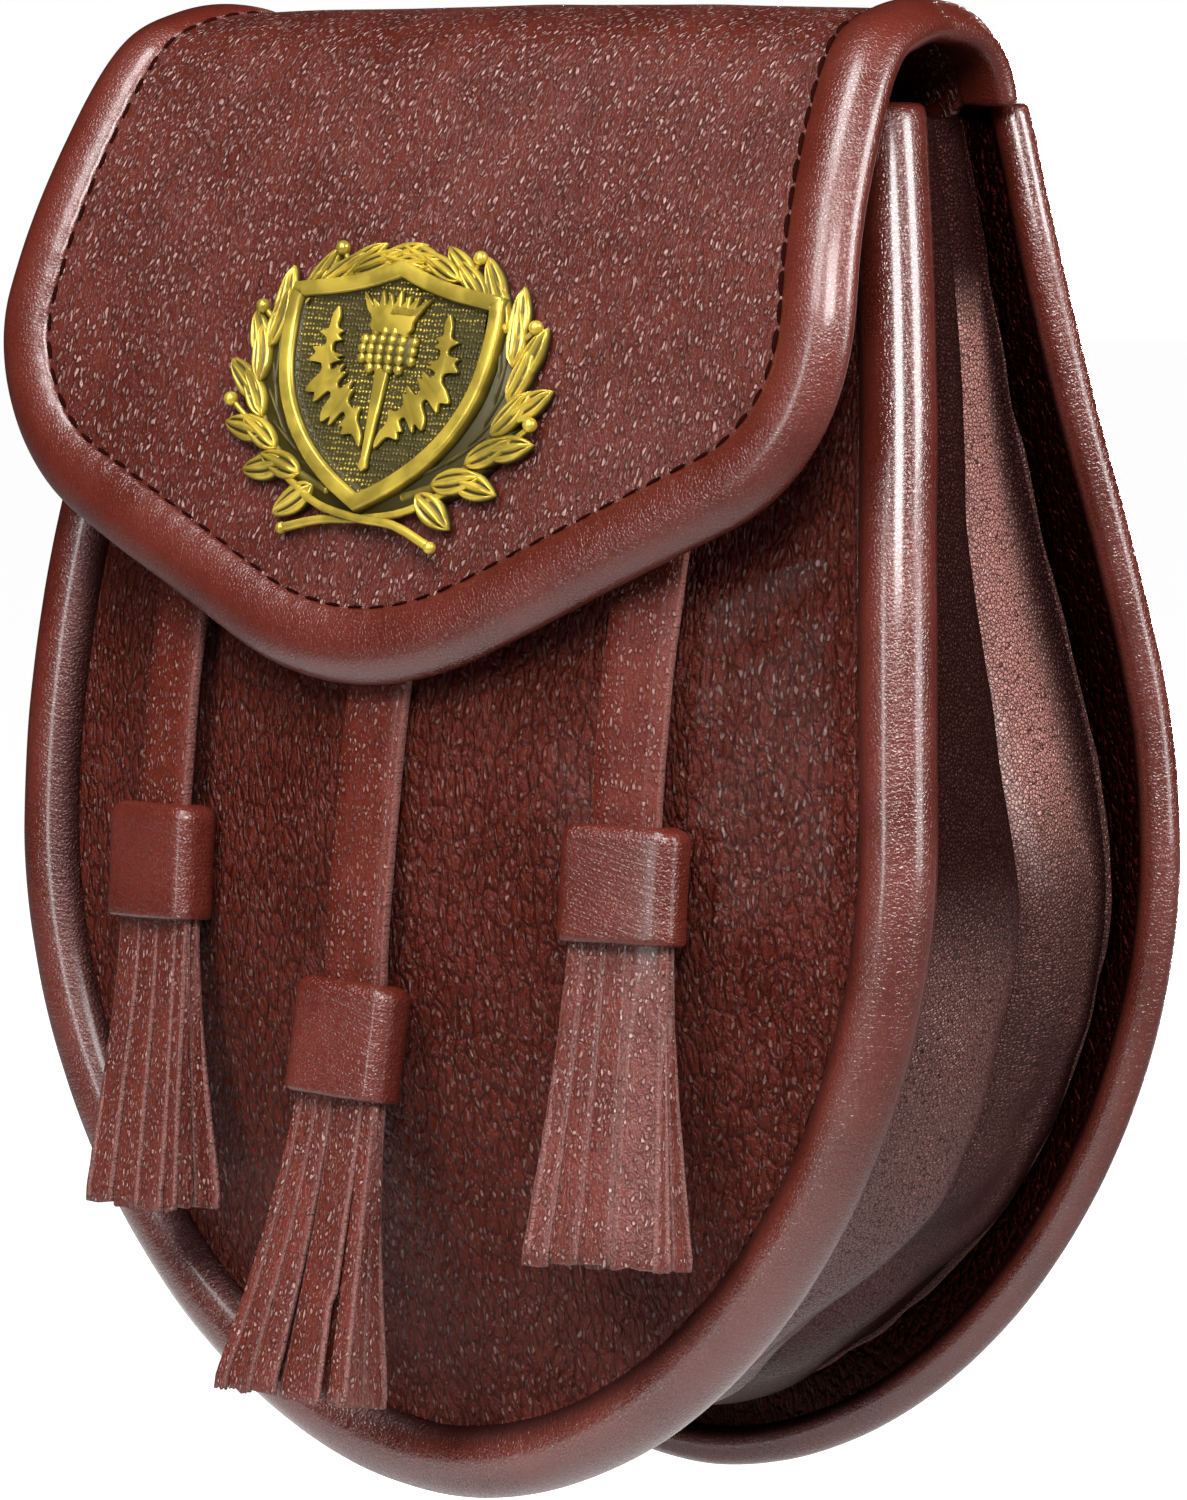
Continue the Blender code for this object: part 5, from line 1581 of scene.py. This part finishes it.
def add_wreath(bm):
    """Two laurel branches with paired leaves, berries and crossed stems."""
    rng = random.Random("wreath")
    for side in (-1, 1):
        add_branch(bm, rng, side)
        for x, y in BERRIES:
            berry = add_ball(bm, 16, 10, 0.95, (side * x, y, 1.6))
            mark(bm, berry, {"relief": [min(0.35 + 0.5 * v.co.z / 1.6, 1.0) for v in berry]})
            add_tube(bm, [(side * x, y, 1.3), (side * x * 0.95, y - 1.0, 1.2),
                          (side * x * 0.88, y - 2.2, 1.0)], (0.38, 0.35), 0.6)
        lift, drop = 1.5 + 0.35 * side, 0.4 * side
        add_tube(bm, [(side * -13.8, -9.6, 1.0), (side * -7.0, -12.9, lift),
                      (0.0, -14.3, lift + 0.2), (side * 6.5, -14.8, lift),
                      (side * 12.6, -16.6 - drop, lift - 0.3)], (0.50, 0.62), 0.9)
        knob = add_ball(bm, 14, 8, 0.82, (side * 12.8, -16.7 - drop, lift - 0.3))
        mark(bm, knob, {"relief": 1.0})


def make_badge():
    """Cast badge on the flap."""
    bm = new_mesh("relief", "stipple")
    plate = bmesh.ops.create_cone(bm, cap_ends=True, segments=96, radius1=1.0, radius2=0.97,
                                  depth=1.1, matrix=Matrix.Translation((0.0, 2.9, 0.55))
                                  @ Matrix.Diagonal((23.2, 16.8, 1.0, 1.0)))["verts"]
    mark(bm, plate, {"relief": 0.0})
    add_wreath(bm)
    add_shield(bm)
    add_thistle(bm)
    bm.transform(badge_seat())
    add_piece("badge_casting", bm, "antique_brass", "badge_brass", "badge")


# ---- belt loop ----
def make_loop():
    """Plain belt loop sewn across the back."""
    line = through([Vector((back_y(z) + WALL / 2 + 0.4 if sewn else LOOP_STAND, z))
                    for sewn, z in LOOP_LINE], 6)
    section, cuts = strip_section(2 * LOOP_HALF_WIDTH, LOOP_WALL, 0.5)
    rings = []
    for index, point in enumerate(line):
        travel = heading_at(line, index)
        out = Vector((0.0, travel.y, -travel.x))
        middle = Vector((0.0, *point)) + out * LOOP_WALL / 2
        rings.append(Ring([middle + Vector((x, 0.0, 0.0)) + out * y for x, y in section],
                          {"cut": cuts, "across": [x for x, y in section], "along": point.y}))
    bm = new_mesh("cut", "across", "along")
    skin(bm, rings)
    add_piece("belt_loop_leather", bm, "strap_leather", "smooth_leather", "belt_loop")


# ---- stage ----
def set_up(name, data, middle, azimuth, elevation, distance):
    """Light or camera aimed at a point; azimuth 0 is in front, 90 at the pouch's right."""
    a, e = math.radians(azimuth), math.radians(elevation)
    away = Vector((math.sin(a) * math.cos(e), -math.cos(a) * math.cos(e), math.sin(e)))
    holder = add_object(name, data)
    holder.location = middle + away * distance
    holder.rotation_euler = (-away).to_track_quat("-Z", "Y").to_euler()
    return holder


def make_floor():
    """Wide round floor below the hanging pouch."""
    bm = bmesh.new()
    bmesh.ops.create_circle(bm, cap_ends=True, segments=96, radius=9.0)
    drop = CAD_BOX[0].z - settings("stage").floor_drop
    bm.transform(Matrix.Translation((0.0, 0.0, drop)))
    floor = mesh_object("floor", bm, "pale_floor")


def make_stage():
    """Floor, lights, surroundings and the camera."""
    scene = bpy.context.scene
    make_floor()
    for box in SOFTBOXES:
        light = bpy.data.lights.new(box.name, "AREA")
        light.shape = "RECTANGLE"
        light.size, light.size_y = box.width, box.tall
        light.energy = settings("stage").key_power * box.power
        set_up(box.name, light, LIT_POINT, box.azimuth, box.elevation, LIGHT_DISTANCE)

    world = bpy.data.worlds.new("studio")
    world.use_nodes = True
    w = Wires(world.node_tree)
    w.tree.nodes.clear()
    dim = w.add("Background", Color=(1.0, 1.0, 1.0), Strength=0.01)
    bright = w.add("Background", Color=(1.0, 1.0, 1.0), Strength=1.0)
    seen = w.add("LightPath")["Is Camera Ray"]
    w.add("OutputWorld", Surface=w.add("MixShader", i0=seen, i1=dim, i2=bright))
    scene.world = world
    scene.view_settings.view_transform = "Standard"
    scene.view_settings.look = "None"

    camera = bpy.data.cameras.new("camera")
    camera.sensor_width = 36.0
    camera.lens = CAMERA_PIXELS / PHOTO_HEIGHT * camera.sensor_width
    camera.clip_start, camera.clip_end = 0.05, 60.0
    scene.camera = set_up("camera", camera, CAMERA_TARGET, *CAMERA_PLACE)


# ---- operators ----
class SPORRAN_OT_stage(Operator):
    """Make the floor, the lights and the camera"""
    bl_idname = "sporran.stage"
    bl_label = "Stage"

    def execute(self, context):
        make_stage()
        return {"FINISHED"}


class SPORRAN_OT_body(Operator):
    """Make the front panel, its roll and the back with its roll"""
    bl_idname = "sporran.body"
    bl_label = "Front and Back"

    def execute(self, context):
        make_front()
        make_back()
        return {"FINISHED"}


class SPORRAN_OT_gusset(Operator):
    """Make the folded side wall"""
    bl_idname = "sporran.gusset"
    bl_label = "Gusset"

    def execute(self, context):
        make_gusset()
        return {"FINISHED"}


class SPORRAN_OT_flap(Operator):
    """Make the flap and its padded edge"""
    bl_idname = "sporran.flap"
    bl_label = "Flap"

    def execute(self, context):
        make_flap()
        make_flap_binding()
        return {"FINISHED"}


class SPORRAN_OT_stitches(Operator):
    """Sew the flap, the gusset, the back and the belt loop"""
    bl_idname = "sporran.stitches"
    bl_label = "Stitches"

    def execute(self, context):
        make_stitches()
        return {"FINISHED"}


class SPORRAN_OT_tassels(Operator):
    """Make the straps, the caps and the fringes"""
    bl_idname = "sporran.tassels"
    bl_label = "Tassels"

    def execute(self, context):
        for tassel in TASSELS:
            make_strap(tassel)
            make_cap(tassel)
            make_fringe(tassel)
        return {"FINISHED"}


class SPORRAN_OT_badge(Operator):
    """Make the cast badge"""
    bl_idname = "sporran.badge"
    bl_label = "Badge"

    def execute(self, context):
        make_badge()
        return {"FINISHED"}


class SPORRAN_OT_loop(Operator):
    """Make the belt loop on the back"""
    bl_idname = "sporran.loop"
    bl_label = "Belt Loop"

    def execute(self, context):
        make_loop()
        return {"FINISHED"}


class SPORRAN_PT_panel(Panel):
    """Settings and pieces of the sporran"""
    bl_idname = "SPORRAN_PT_panel"
    bl_label = "Sporran"
    bl_space_type = "VIEW_3D"
    bl_region_type = "UI"
    bl_category = "Sporran"

    def draw(self, context):
        layout = self.layout
        for kind, group in GROUPS:
            box = layout.box()
            box.label(text=kind.title())
            values = settings(kind)
            for name in group.__annotations__:
                box.prop(values, name)
        for operator in OPERATORS:
            layout.operator(operator.bl_idname)


GROUPS = (("leather", SporranLeather), ("stitch", SporranStitch), ("badge", SporranBadge),
          ("stage", SporranStage))
OPERATORS = (SPORRAN_OT_stage, SPORRAN_OT_body, SPORRAN_OT_gusset, SPORRAN_OT_flap,
             SPORRAN_OT_stitches, SPORRAN_OT_tassels, SPORRAN_OT_badge, SPORRAN_OT_loop)


def register():
    for kind, group in GROUPS:
        bpy.utils.register_class(group)
        setattr(bpy.types.Scene, "sporran_" + kind, PointerProperty(type=group))
    for operator in OPERATORS:
        bpy.utils.register_class(operator)
    bpy.utils.register_class(SPORRAN_PT_panel)


def unregister():
    bpy.utils.unregister_class(SPORRAN_PT_panel)
    for operator in reversed(OPERATORS):
        bpy.utils.unregister_class(operator)
    for kind, group in reversed(GROUPS):
        delattr(bpy.types.Scene, "sporran_" + kind)
        bpy.utils.unregister_class(group)


def main():
    register()
    for name in ("stage", "body", "gusset", "flap", "stitches", "tassels", "badge", "loop"):
        getattr(bpy.ops.sporran, name)()


if __name__ == "__main__":
    main()
